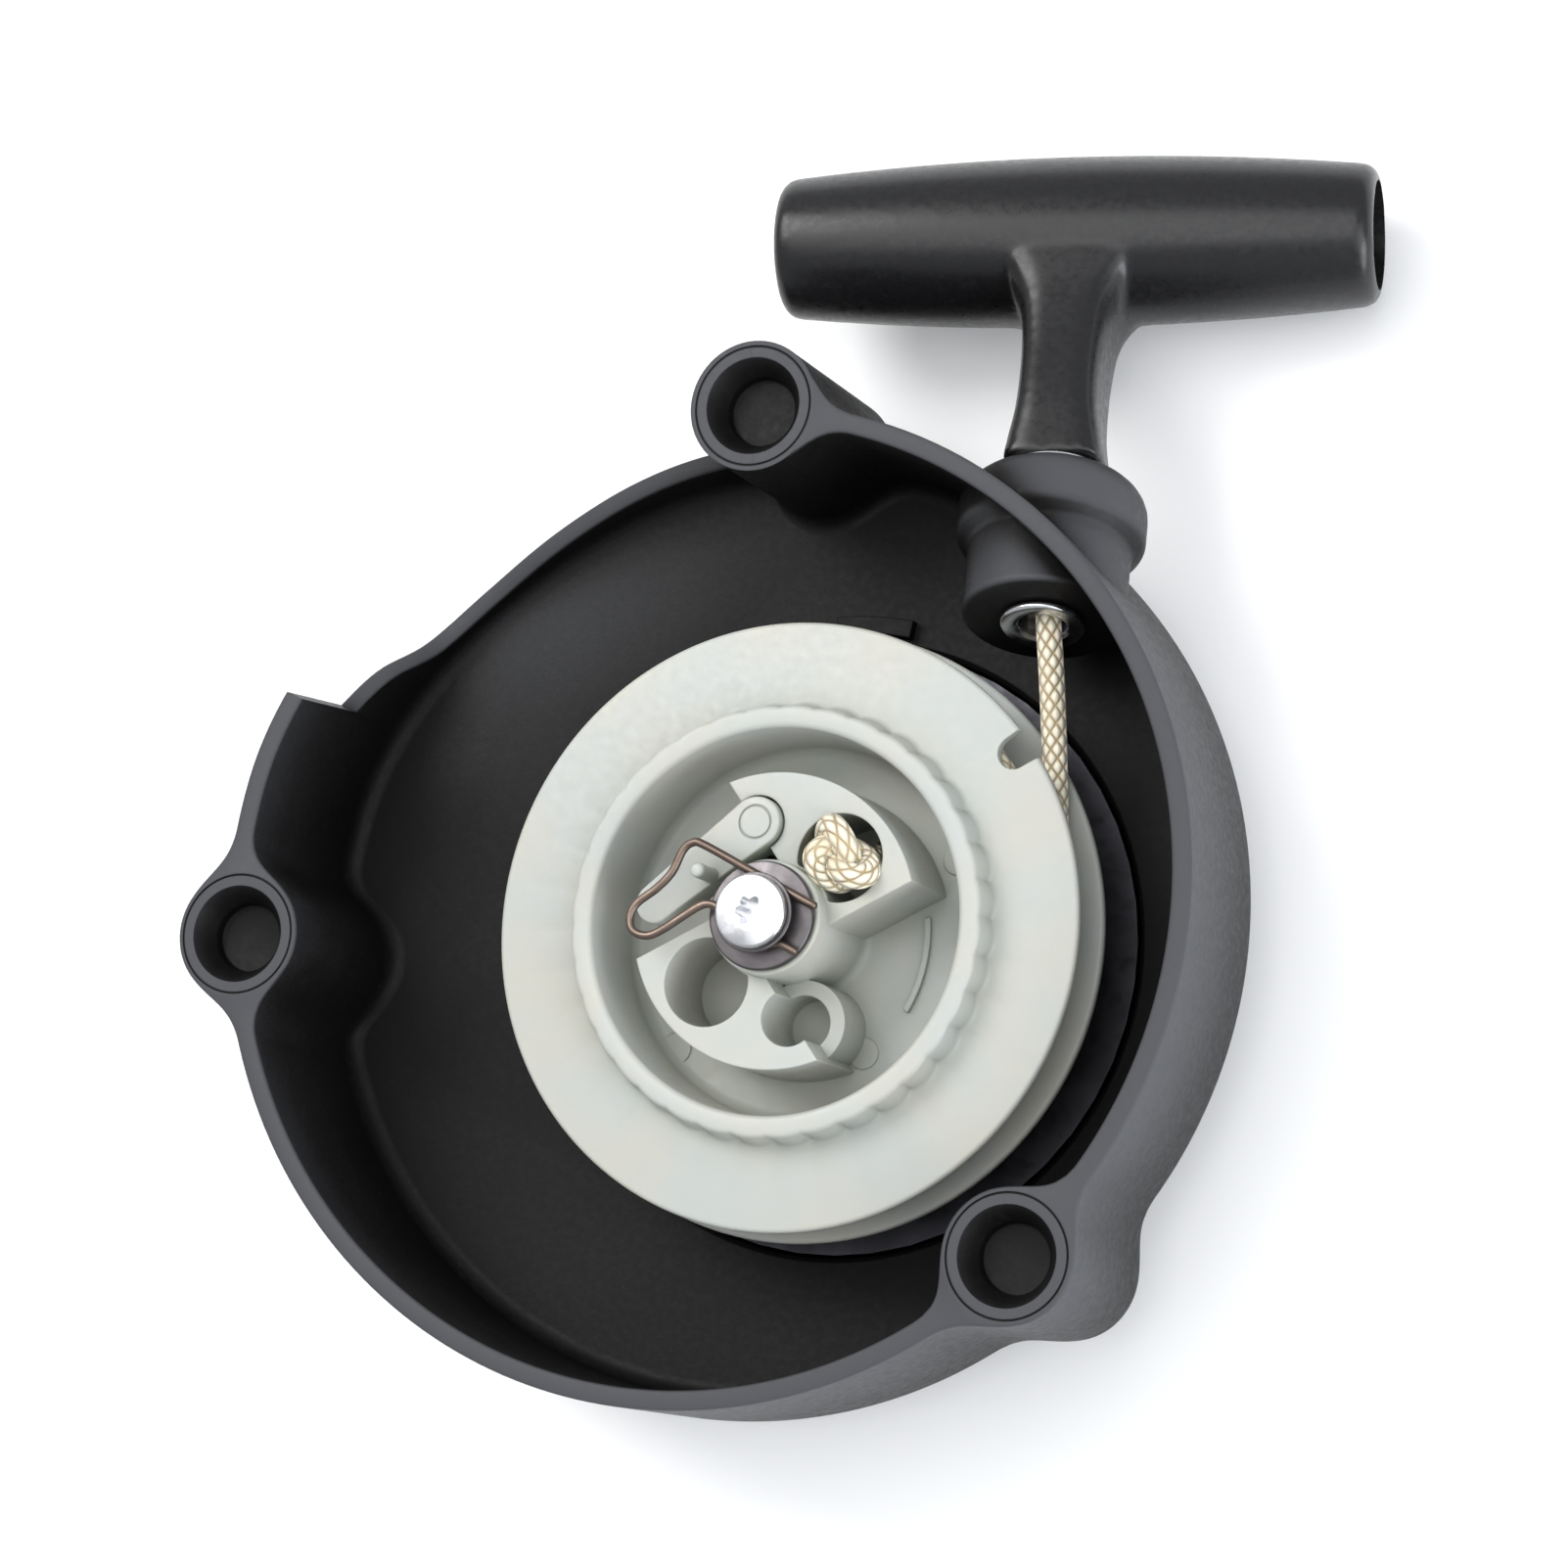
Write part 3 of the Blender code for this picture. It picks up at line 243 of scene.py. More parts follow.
def settled(name, mesh, sharp):
    """Merges doubles, turns faces out, shades smooth with edges sharp over that angle and links the
    object."""
    shape = bmesh.new()
    shape.from_mesh(mesh)
    bmesh.ops.remove_doubles(shape, verts=shape.verts, dist=1e-7)
    bmesh.ops.recalc_face_normals(shape, faces=shape.faces)
    shape.to_mesh(mesh)
    shape.free()
    mesh.shade_smooth()
    mesh.set_sharp_from_angle(angle=math.radians(sharp))
    made = bpy.data.objects.new(name, mesh)
    bpy.context.scene.collection.objects.link(made)
    return made


def turned(name, profile, segments=96, place=None, wave=None, sharp=38):
    """A profile of (radius, height) turned about Z; wave(angle, row) adds to the radius. A profile whose
    ends lie on the axis gives a closed body with capped ends, any other gives a ring."""
    profile = np.asarray(profile, float)
    ring = profile[0, 0] > 0
    rows = profile if ring else profile[1:-1]
    angle = np.linspace(0, 2 * math.pi, segments, endpoint=False)
    radius = np.repeat(rows[:, :1], segments, 1)
    if wave is not None:
        radius = radius + wave(angle[None, :], np.arange(len(rows))[:, None])
    height = np.repeat(rows[:, 1:], segments, 1)
    points = np.stack([radius * np.cos(angle), radius * np.sin(angle), height], -1)
    if place is not None:
        points = place(points)
    return surface(name, points, (ring, True), not ring, sharp=sharp)


def rounded(corners, radii, steps=5):
    """A profile through these corners, each rounded off by its own radius with a circular arc."""
    corners = [np.asarray(corner, float) for corner in corners]
    line = [corners[0]]
    for before, here, after, radius in zip(corners, corners[1:], corners[2:], radii[1:-1]):
        if not radius:
            line.append(here)
            continue
        back, ahead = (before - here), (after - here)
        back, ahead = back / np.linalg.norm(back), ahead / np.linalg.norm(ahead)
        half = math.acos(np.clip(back @ ahead, -1, 1)) / 2
        centre = here + (back + ahead) / np.linalg.norm(back + ahead) * radius / math.sin(half)
        start = here + back * radius / math.tan(half) - centre
        end = here + ahead * radius / math.tan(half) - centre
        sweep = math.atan2(start[0] * end[1] - start[1] * end[0], start @ end)
        for turn in np.linspace(0, sweep, steps):
            line.append(centre + (start[0] * math.cos(turn) - start[1] * math.sin(turn),
                                  start[0] * math.sin(turn) + start[1] * math.cos(turn)))
    return np.array(line + [corners[-1]])


def arc(centre, radius, start, end, steps):
    angle = np.radians(np.linspace(start, end, steps))
    return np.stack([centre[0] + radius * np.cos(angle), centre[1] + radius * np.sin(angle)], -1)


def polar(angle, radius):
    return np.array((radius * math.cos(math.radians(angle)), radius * math.sin(math.radians(angle))))


def prism(name, outline, low, high):
    """A closed outline in XY carried straight up from low to high."""
    outline = np.asarray(outline, float)
    rings = [np.c_[outline, np.full(len(outline), height)] for height in (low, high)]
    return surface(name, np.array(rings), (False, True), True)


def post(name, centre, low, high, radius, segments=64):
    return prism(name, arc(centre, radius, 0, 360, segments + 1)[:-1], low, high)


def at_outlet(start=0.0):
    """Lays a turned shape along the outlet's axis, start millimetres from the eyelet's plane."""
    def place(points):
        return (OUTLET + points[..., :1] * OUT_SIDE - points[..., 1:2] * OUT_NORMAL
                + (points[..., 2:] + start) * OUT_ALONG)
    return place


def join(*others):
    return [("UNION", other) for other in others]


def cut(*others):
    return [("DIFFERENCE", other) for other in others]


def carve(body, steps):
    """Joins and cuts with exact Booleans, one after another, then keeps only the result."""
    for operation, other in steps:
        change = body.modifiers.new(other.name, "BOOLEAN")
        change.operation, change.object = operation, other
    graph = bpy.context.evaluated_depsgraph_get()
    mesh = bpy.data.meshes.new_from_object(body.evaluated_get(graph), depsgraph=graph)
    body.modifiers.clear()
    body.data = mesh
    mesh.shade_smooth()
    mesh.set_sharp_from_angle(angle=math.radians(32))
    for _, other in steps:
        bpy.data.objects.remove(other, do_unlink=True)
    return body


def smooth_line(points, spacing):
    """Points at equal spacing on the Catmull-Rom curve through these points."""
    points = np.asarray(points, float)
    ends = np.vstack([2 * points[0] - points[1], points, 2 * points[-1] - points[-2]])
    t = np.linspace(0, 1, 24, endpoint=False)[:, None]
    a, b, c, d = (ends[k:len(ends) - 3 + k, None] for k in range(4))
    square, cube = 2 * a - 5 * b + 4 * c - d, 3 * b - a - 3 * c + d
    fine = 0.5 * (2 * b + (c - a) * t + square * t ** 2 + cube * t ** 3)
    fine = np.vstack([fine.reshape(-1, 3), points[-1]])
    walked = np.r_[0, np.cumsum(np.linalg.norm(np.diff(fine, axis=0), axis=1))]
    wanted = np.linspace(0, walked[-1], max(2, round(walked[-1] / spacing) + 1))
    return np.stack([np.interp(wanted, walked, fine[:, axis]) for axis in range(3)], 1)


def tube(name, line, radius, around=24, uv=None, rounded_ends=0.0, closed=False):
    """A circle carried along a line. Its upward side is straight up where the line is never steep, and
    otherwise one first side with the part along the line taken out again at each point. With uv =
    (diamonds, pitch) the UV counts braid diamonds round and along. With rounded_ends the radius r runs out
    over that length as sqrt(1 - (1 - s)^2)."""
    line = np.asarray(line, float)
    ahead = np.roll(line, -1, 0) - np.roll(line, 1, 0) if closed else np.gradient(line, axis=0)
    ahead /= np.linalg.norm(ahead, axis=1)[:, None]
    up = np.tile((0.0, 0.0, 1.0), (len(line), 1)) if np.abs(ahead[:, 2]).max() < 0.93 else None
    if up is None:
        up = np.empty_like(line)
        side = np.cross(ahead[0], (0.3, 0.8, 0.52))
        for k, direction in enumerate(ahead):
            side = side - direction * (side @ direction)
            side /= np.linalg.norm(side)
            up[k] = side
    side = np.cross(ahead, up)
    side /= np.linalg.norm(side, axis=1)[:, None]
    up = np.cross(side, ahead)
    angle = np.linspace(0, 2 * math.pi, around, endpoint=False)
    size = np.full(len(line), float(radius))
    if rounded_ends:
        walked = np.r_[0, np.cumsum(np.linalg.norm(np.diff(line, axis=0), axis=1))]
        left = np.minimum(walked, walked[-1] - walked)
        size *= np.sqrt(np.clip(1 - (1 - np.clip(left / rounded_ends, 0, 1)) ** 2, 0.02, 1))
    points = (line[:, None] + size[:, None, None]
              * (np.cos(angle)[None, :, None] * side[:, None] + np.sin(angle)[None, :, None] * up[:, None]))
    scale = None
    if uv:
        spacing = np.linalg.norm(np.diff(line, axis=0), axis=1).mean()
        scale = (uv[0], spacing / uv[1])
    return surface(name, points, (closed, True), not closed, scale)


# Finishes.
class Nodes:
    """Adds nodes to a material and links them, so that a finish reads as a list of steps."""

    def __init__(self, name, **sockets):
        self.material = bpy.data.materials.new(name)
        self.material.use_nodes = True
        self.tree = self.material.node_tree
        self.shader = self.tree.nodes["Principled BSDF"]
        for key, value in sockets.items():
            self.shader.inputs[key.replace("_", " ")].default_value = value

    def add(self, kind, links=(), **values):
        node = self.tree.nodes.new("ShaderNode" + kind)
        for key, value in values.items():
            if hasattr(node, key) and key not in node.inputs:
                setattr(node, key, value)
            else:
                node.inputs[key.replace("_", " ")].default_value = value
        for socket, source in dict(links).items():
            self.tree.links.new(source, node.inputs[socket])
        return node

    def math(self, operation, *terms):
        node = self.tree.nodes.new("ShaderNodeMath")
        node.operation = operation
        for socket, term in zip(node.inputs, terms):
            if isinstance(term, (int, float)):
                socket.default_value = term
            else:
                self.tree.links.new(term, socket)
        return node.outputs[0]

    def mix(self, factor, low, high):
        """Between two colours, each an RGB triple or a socket."""
        node = self.tree.nodes.new("ShaderNodeMix")
        node.data_type = "RGBA"
        self.tree.links.new(factor, node.inputs[0])
        for socket, value in ((node.inputs[6], low), (node.inputs[7], high)):
            if isinstance(value, bpy.types.NodeSocket):
                self.tree.links.new(value, socket)
            else:
                socket.default_value = (*value, 1.0)
        return node.outputs[2]

    def ramp(self, source, low, high, to_low=0.0, to_high=1.0):
        node = self.tree.nodes.new("ShaderNodeMapRange")
        self.tree.links.new(source, node.inputs[0])
        for socket, value in zip(list(node.inputs)[1:5], (low, high, to_low, to_high)):
            socket.default_value = value
        return node.outputs[0]

    def noise(self, scale, detail=3.0, roughness=0.5, stretch=None):
        place = self.add("TexCoord").outputs["Object"]
        if stretch:
            place = self.add("Mapping", {"Vector": place}, Scale=stretch).outputs[0]
        node = self.add("TexNoise", {"Vector": place}, Scale=scale, Detail=detail, Roughness=roughness)
        return node.outputs["Fac"]

    def bump(self, height, distance, strength=1.0, round_edges=0.0):
        links = {"Height": height}
        if round_edges:
            links["Normal"] = self.add("Bevel", samples=6, Radius=round_edges * MM).outputs[0]
        node = self.add("Bump", links, Distance=distance * MM, Strength=strength)
        self.tree.links.new(node.outputs[0], self.shader.inputs["Normal"])

    def feed(self, socket, source):
        self.tree.links.new(source, self.shader.inputs[socket])


def tint(colour, factor):
    return tuple(min(1.0, channel * factor) for channel in colour)


def moulded_black(name, colour, painted_open_light, gloss, roughness, grain, rounding):
    """Dark moulded plastic: fine spark-eroded grain, faint cloudy patches, and painted light: lighter where it
    lies open, with its hollows left darker as painted shade.
    """
    made = Nodes(name, Roughness=roughness, IOR=1.5, Specular_IOR_Level=gloss)
    cloud = made.noise(40.0, 2.0)
    fine = made.noise(2600.0, 2.0, 0.6)
    speck = made.noise(900.0, 3.0, 0.65)
    base = made.mix(made.ramp(cloud, 0.35, 0.65), tint(colour, 0.85), tint(colour, 1.2))
    base = made.mix(made.ramp(speck, 0.60, 0.74, 0.0, 0.5), base, tint(colour, 2.4))
    # Painted light: open surfaces are painted lighter, hollows stay darker as painted shade.
    painted_light_mask = made.add("AmbientOcclusion", samples=8, Distance=0.05).outputs["AO"]
    base = made.mix(made.ramp(painted_light_mask, 0.72, 1.0), base, painted_open_light)
    made.feed("Base Color", base)
    made.feed("Roughness", made.ramp(speck, 0.3, 0.7, roughness - 0.07, roughness + 0.08))
    height = made.math("ADD", made.math("MULTIPLY", fine, 0.6), made.math("MULTIPLY", speck, 0.5))
    made.bump(height, grain, 0.6, rounding)
    return made.material


def natural_nylon(colours, rounding):
    """Translucent nylon: light scatters in it, deep corners get a painted shade, and a faint warm cloud runs
    through it."""
    made = Nodes("translucent_nylon", Roughness=0.42, IOR=1.53)
    made.shader.inputs["Subsurface Weight"].default_value = 0.35
    made.shader.inputs["Subsurface Radius"].default_value = (1.0, 0.95, 0.7)
    made.shader.inputs["Subsurface Scale"].default_value = 0.0016
    cloud = made.noise(55.0, 3.0)
    warm = made.mix(made.ramp(cloud, 0.38, 0.62), tuple(colours.nylon), (0.43, 0.425, 0.38))
    # Painted shade: deep corners found by ambient occlusion are painted in the darker nylon colour.
    hollow = made.add("AmbientOcclusion", samples=8, Distance=0.006)
    shade = made.ramp(hollow.outputs["AO"], 0.25, 0.95)
    base = made.mix(shade, tuple(colours.nylon_painted_shade), warm)
    made.feed("Base Color", base)
    fine = made.noise(700.0, 3.0, 0.6)
    made.feed("Roughness", made.ramp(fine, 0.3, 0.7, 0.36, 0.52))
    made.bump(made.noise(420.0, 3.0, 0.55), 0.05, 0.5, rounding)
    return made.material


def braid_finish(name, colours, sizes, straight=False):
    """Diamond braid: height = |sin(pi(a + b))| * |sin(pi(a - b))| with a round and b along the rope, so
    each diamond is a strand crossing. The straight finish takes a and b from the place along the outlet's
    axis instead."""
    made = Nodes(name, Roughness=0.78, IOR=1.45)
    made.shader.inputs["Sheen Weight"].default_value = 0.3
    made.shader.inputs["Subsurface Weight"].default_value = 0.15
    made.shader.inputs["Subsurface Scale"].default_value = 0.001
    if straight:
        place = made.add("TexCoord").outputs["Object"]
        turn = made.add("Mapping", {"Vector": place}, vector_type="TEXTURE")
        turn.inputs["Location"].default_value = Vector(OUTLET) * MM
        turn.inputs["Rotation"].default_value = (-(math.pi / 2 + LEAN), 0.0, YAW)
        x, y, z = made.add("SeparateXYZ", {"Vector": turn.outputs[0]}).outputs
        a = made.math("MULTIPLY", made.math("ARCTAN2", y, x), sizes.braid_diamonds / (2 * math.pi))
        b = made.math("MULTIPLY", z, 1 / (sizes.braid_pitch * MM))
    else:
        a, b, _ = made.add("SeparateXYZ", {"Vector": made.add("UVMap").outputs[0]}).outputs
    turns = [made.math("MULTIPLY", made.math(way, a, b), math.pi) for way in ("ADD", "SUBTRACT")]
    crossing = [made.math("ABSOLUTE", made.math("SINE", turn)) for turn in turns]
    height = made.math("POWER", made.math("MULTIPLY", *crossing), 0.6)
    fibre = made.noise(1500.0, 2.0, 0.7)
    stain = made.noise(160.0, 3.0)
    # Painted shade: the low parts between the strands are painted in the darker gap colour.
    base = made.mix(made.ramp(height, 0.15, 0.75), tuple(colours.rope_gap_shade), tuple(colours.rope))
    base = made.mix(made.ramp(stain, 0.50, 0.72, 0.0, 0.55), base, (0.60, 0.50, 0.33))
    made.feed("Base Color", base)
    made.bump(made.math("ADD", height, made.math("MULTIPLY", fibre, 0.25)), 0.42, 1.0)
    return made.material


def bare_metal(name, colour, roughness, scratch, stretch=None):
    """Metal with fine rubbed marks: roughness and height follow one noise, drawn out where stretch says
    so."""
    made = Nodes(name, Metallic=1.0)
    fine = made.noise(500.0, 4.0, 0.6, stretch)
    patch = made.noise(150.0, 2.0)
    made.feed("Base Color", made.mix(made.ramp(patch, 0.35, 0.7), tint(colour, 0.8), tint(colour, 1.12)))
    made.feed("Roughness", made.ramp(fine, 0.3, 0.7, roughness * 0.75, roughness * 1.35))
    made.bump(fine, scratch, 0.4, 0.1)
    return made.material


FINISHES = {}


def make_finishes():
    """Fills FINISHES: one finish for each slot, and one more for the straight rope."""
    scene = bpy.context.scene
    colours, sizes = scene.starter_colours, scene.starter_sizes
    rounding = sizes.edge_round
    # The third colour of each black finish is painted light, laid on the surfaces that lie open.
    FINISHES["black_plastic"] = moulded_black("moulded_black", tuple(colours.housing), (0.062, 0.064, 0.070),
                                              0.12, 0.46, 0.035, rounding)
    FINISHES["grip_plastic"] = moulded_black("satin_black", tuple(colours.grip), (0.009, 0.009, 0.010),
                                             0.38, 0.30, 0.012, 0.0)
    FINISHES["natural_nylon"] = natural_nylon(colours, rounding)
    FINISHES["braided_rope"] = braid_finish("braid", colours, sizes)
    FINISHES["straight_rope"] = braid_finish("straight_braid", colours, sizes, straight=True)
    FINISHES["bright_zinc"] = bare_metal("zinc_plate", tuple(colours.zinc), 0.22, 0.01)
    FINISHES["dark_steel"] = bare_metal("phosphated_steel", tuple(colours.collar), 0.36, 0.015)
    FINISHES["bare_steel"] = bare_metal("plain_steel", (0.07, 0.07, 0.08), 0.45, 0.01)
    FINISHES["bronze_wire"] = bare_metal("bronzed_wire", tuple(colours.wire), 0.38, 0.015)
    FINISHES["spring_steel"] = bare_metal("blued_strip", (0.20, 0.21, 0.24), 0.3, 0.01, (1.0, 1.0, 8.0))


def fit_out(piece, body, slot, *nodes, finish=None):
    """Gives a piece its finish and its body, and hides the CAD nodes that it stands for."""
    piece.data.materials.clear()
    piece.data.materials.append(FINISHES[finish or slot])
    if body:
        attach(piece, body)
    if nodes:
        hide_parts(*nodes)
    return piece


def dress(node, slot):
    """Gives a CAD node that stays visible its finish."""
    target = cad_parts[node]
    target.data.materials.clear()
    target.data.materials.append(FINISHES[slot])


# Housing.
def step_between(value, low, high):
    """0 below low, 1 above high and 3s^2 - 2s^3 between them."""
    share = np.clip((value - low) / (high - low), 0, 1)
    return share * share * (3 - 2 * share)


def circle_distance(angle, circle):
    """Distance from the axle to an off-centre circle along each angle: the far root of the quadratic."""
    x, y, radius = circle
    ahead = x * np.cos(angle) + y * np.sin(angle)
    return ahead + np.sqrt(radius ** 2 - (x * x + y * y - ahead ** 2))


def wall_distance(angle):
    """The wall's scroll: two off-centre circles, blended by step_between on the left and at the lower
    right."""
    degrees = np.degrees(angle)
    left = np.maximum(1 - step_between(degrees, -63.0, -38.0), step_between(degrees, 120.0, 165.0))
    return (1 - left) * circle_distance(angle, RIGHT_CIRCLE) + left * circle_distance(angle, LEFT_CIRCLE)


def outline(angle, inner):
    """Distance from the axle to the wall's outer or inner outline: the zero, found by halving, of the
    smooth union min(a, b) - max(w - |a - b|, 0)^2 / 4w of the wall and the round bosses."""
    low, high = np.full(len(angle), 36.0), np.full(len(angle), 107.0)
    for _ in range(40):
        middle = (low + high) / 2
        value = middle - wall_distance(angle) + (WALL if inner else 0)
        value = -value if inner else value
        for k, (place, distance) in enumerate(BOSSES):
            x, y = polar(place, distance)
            width = np.where((k == 2) & (np.degrees(angle) > place), 0.05, 6.0)
            boss = np.hypot(middle * np.cos(angle) - x, middle * np.sin(angle) - y)
            boss = boss - BOSS_R + 0.06 * (k == 2)
            value = np.minimum(value, boss) - np.maximum(width - np.abs(value - boss), 0) ** 2 / width / 4
        outside = value < 0 if inner else value > 0
        low, high = np.where(outside, low, middle), np.where(outside, middle, high)
    return (low + high) / 2


def wall_top(angle):
    """Height of the wall's edge: the rim, or a smooth S down to the cut-out's edge in the upper left."""
    degrees = np.degrees(angle)
    places, heights = np.array(CUT_EDGE).T
    fine = smooth_line(np.c_[places, FLOOR_Z + heights, 0 * places], 0.5)
    edge = np.interp(degrees, fine[:, 0], fine[:, 1])
    edge = edge + np.clip((degrees - places[-1]) / CUT_STEP, 0, 1) * (RIM_Z - edge)
    return np.where(degrees < places[0], RIM_Z, edge)


def wall_angles():
    """Every 1.5 degrees, every half degree at a boss, every 0.75 degrees along the cut-out, and its two
    ends."""
    first, last = CUT_EDGE[0][0], CUT_EDGE[-1][0]
    angles = [np.arange(-180, 180, 1.5), np.array((first - 0.05, first + 0.05, last, last + CUT_STEP)),
              np.arange(93.5, 155, 0.75)]
    angles += [np.arange(place - 12, place + 12, 0.5) for place, _ in BOSSES]
    angles = np.concatenate(angles)
    angles = np.unique(np.round(np.where(angles > 180, angles - 360, angles), 2))
    return np.radians(angles[np.r_[True, np.diff(angles) > 0.04]])


def housing_surface():
    """Wall, floor and corner as one grid: angle about the axle by a closed profile whose outer and inner
    edges are rounded by quarter circles."""
    angle = wall_angles()
    outer, inner, top = outline(angle, False), outline(angle, True), wall_top(angle)
    low = FLOOR_Z - PLATE
    edge = 0.45

    def ring(distance, height):
        return np.stack([distance * np.cos(angle), distance * np.sin(angle), height + 0 * angle], 1)

    rings = [ring(outer - 10.5, low)]
    rings += [ring(outer - CORNER * (1 - math.sin(turn)), low + CORNER * (1 - math.cos(turn)))
              for turn in np.radians(np.linspace(0, 90, 9))]
    top = np.maximum(top, low + 5.2)
    quarter = np.radians((0, 30, 60, 90))
    rings += [ring(outer - edge * (1 - math.cos(turn)), top - edge * (1 - math.sin(turn)))
              for turn in quarter]
    rings += [ring(inner + edge * (1 - math.sin(turn)), top - edge * (1 - math.cos(turn)))
              for turn in quarter]
    rings += [ring(inner - 2.5 * (1 - math.sin(turn)), FLOOR_Z + 2.5 * (1 - math.cos(turn)))
              for turn in np.radians(np.linspace(90, 0, 7))]
    return surface("housing_shell", np.array(rings), (False, True), True)


def housing_steps(sizes):
    """What is joined to the shell and cut from it, in order: spring well, axle post, ribs, outlet and screw
    sockets."""
    low = FLOOR_Z - PLATE
    bulge = [(0, 0), (WELL_R + 0.9, 0), (WELL_R + 2.4, low - 1.5), (WELL_R + 3.9, low + 1.2), (0, low + 1.2)]
    bulge = rounded(bulge, (0, 3.0, 1.0, 0, 0))
    well = [(0, PLATE), (WELL_R - 1.5, PLATE), (WELL_R, FLOOR_Z - 0.6), (WELL_R + 0.6, FLOOR_Z),
            (WELL_R + 0.6, FLOOR_Z + 4), (0, FLOOR_Z + 4)]
    steps = join(turned("bulge", bulge, 120)) + cut(turned("well", well, 120))
    steps += join(post("post", (0, 0), 1.2, HUB_TOP - 0.4, POST_R, 48))
    steps += cut(post("screw_hole", (0, 0), HEAD_TOP - 27, HEAD_TOP, SCREW_BORE_R, 32))
    rib = np.vstack([arc((0, 0), 43.2, 78, 92, 16), arc((0, 0), 45.6, 92, 78, 16)])
    steps += join(prism("anchor_rib", rib, low + 1, FLOOR_Z + 1.8))
    steps += join(post("free_boss", polar(*BOSSES[2]), low + 1, RIM_Z - 0.02, BOSS_R, 72))
    barrel = [(0, 0), (10.8, 0), (10.8, 10.0), (12.6, 11.8), (12.6, TURRET_LENGTH), (0, TURRET_LENGTH)]
    barrel = rounded(barrel, (0, 0.8, 1.5, 2.0, 4.4, 0), 8)
    steps += join(turned("turret", barrel, 96, at_outlet()))
    steps += cut(turned("outlet_bore", [(0, -5), (3.96, -5), (3.96, 26), (0, 26)], 40, at_outlet()))
    steps += cut(turned("spotface", [(0, 20), (8.7, 20), (8.7, 30), (0, 30)], 64, at_outlet()))
    for k, boss in enumerate(BOSSES):
        x, y = polar(*boss)

        def there(points, x=x, y=y):
            return points + (x, y, 0.0)

        socket = [(0, RIM_Z - 5.0), (4.7, RIM_Z - 5.0), (4.7, RIM_Z - 3.4), (6.6, RIM_Z), (7.0, RIM_Z + 2),
                  (0, RIM_Z + 2)]
        socket = rounded(socket, (0, 0.3, 0.4, 0.4, 0, 0))
        steps += cut(turned(f"socket_{k}", socket, 64, there))
        depth = RIM_Z - sizes.witness
        groove = [(7.95, depth), (8.2, depth), (8.3, RIM_Z + 1), (7.85, RIM_Z + 1)]
        steps += cut(turned(f"witness_{k}", groove, 72, there))
    return steps


# Rotor.
def block_outline(turn):
    foot = [polar(80 + turn, 7.0), polar(turn - 10, 7.0)]
    return np.vstack([foot, arc((0, 0), BLOCK_R, 14 + turn, 110 + turn, 60)])


def pocket_outline(turn):
    """The round pocket, pushed out where it would reach the hub."""
    edge = arc(polar(KNOT_ANGLE + turn, KNOT_AT), POCKET_R, 0, 360, 65)[:-1]
    distance = np.hypot(*edge.T)
    return edge * (np.maximum(distance, HUB_R + 0.3) / distance)[:, None]


def rotor_surface(sizes):
    """Drum, flanges, cup and hub turned as one profile; the lip's outer side is scalloped by
    |sin(n angle / 2)|^0.7, which fades to a quarter at its top."""
    lip = FLANGE_Z + LIP_HEIGHT
    low, high = FLANGE_Z - 9.0, FLANGE_Z - 1.6
    under = CUP_FLOOR_Z - 1.7
    corners = [(0, ROTOR_LOW), (12.5, ROTOR_LOW), (12.5, under), (DRUM_R - 1.4, under), (DRUM_R, low - 1.5),
               (41.1, low - 1.5), (41.1, low), (DRUM_R, low), (DRUM_R, high), (FLANGE_R, high),
               (FLANGE_R, FLANGE_Z), (LIP_R + 0.5, FLANGE_Z), (LIP_R, lip), (CUP_R, lip),
               (CUP_R - 0.4, CUP_FLOOR_Z), (HUB_R + 0.2, CUP_FLOOR_Z), (HUB_R, HUB_TOP), (0, HUB_TOP)]
    radii = (0, 0.5, 1.0, 0.5, 0.5, 0.5, 0.5, 1.0, 1.0, 0.5, 0.6, 0.7, 0.7, 0.8, 1.6, 1.2, 0.4, 0)
    profile = rounded(corners, radii, 5)
    radius, height = profile[1:-1].T
    wavy = ((radius > CUP_R + 1.5) & (radius < LIP_R + 1.3) & (height > FLANGE_Z - 0.2)).astype(float)
    fade = 1 - 0.75 * np.clip((height - FLANGE_Z) / LIP_HEIGHT, 0, 1)

    def wave(angle, row):
        hollow = np.abs(np.sin(sizes.scallops / 2 * angle)) ** 0.7
        return sizes.scallop_depth * (wavy * fade)[row] * (hollow - 0.5)

    return turned("rotor_body", profile, 360, wave=wave)


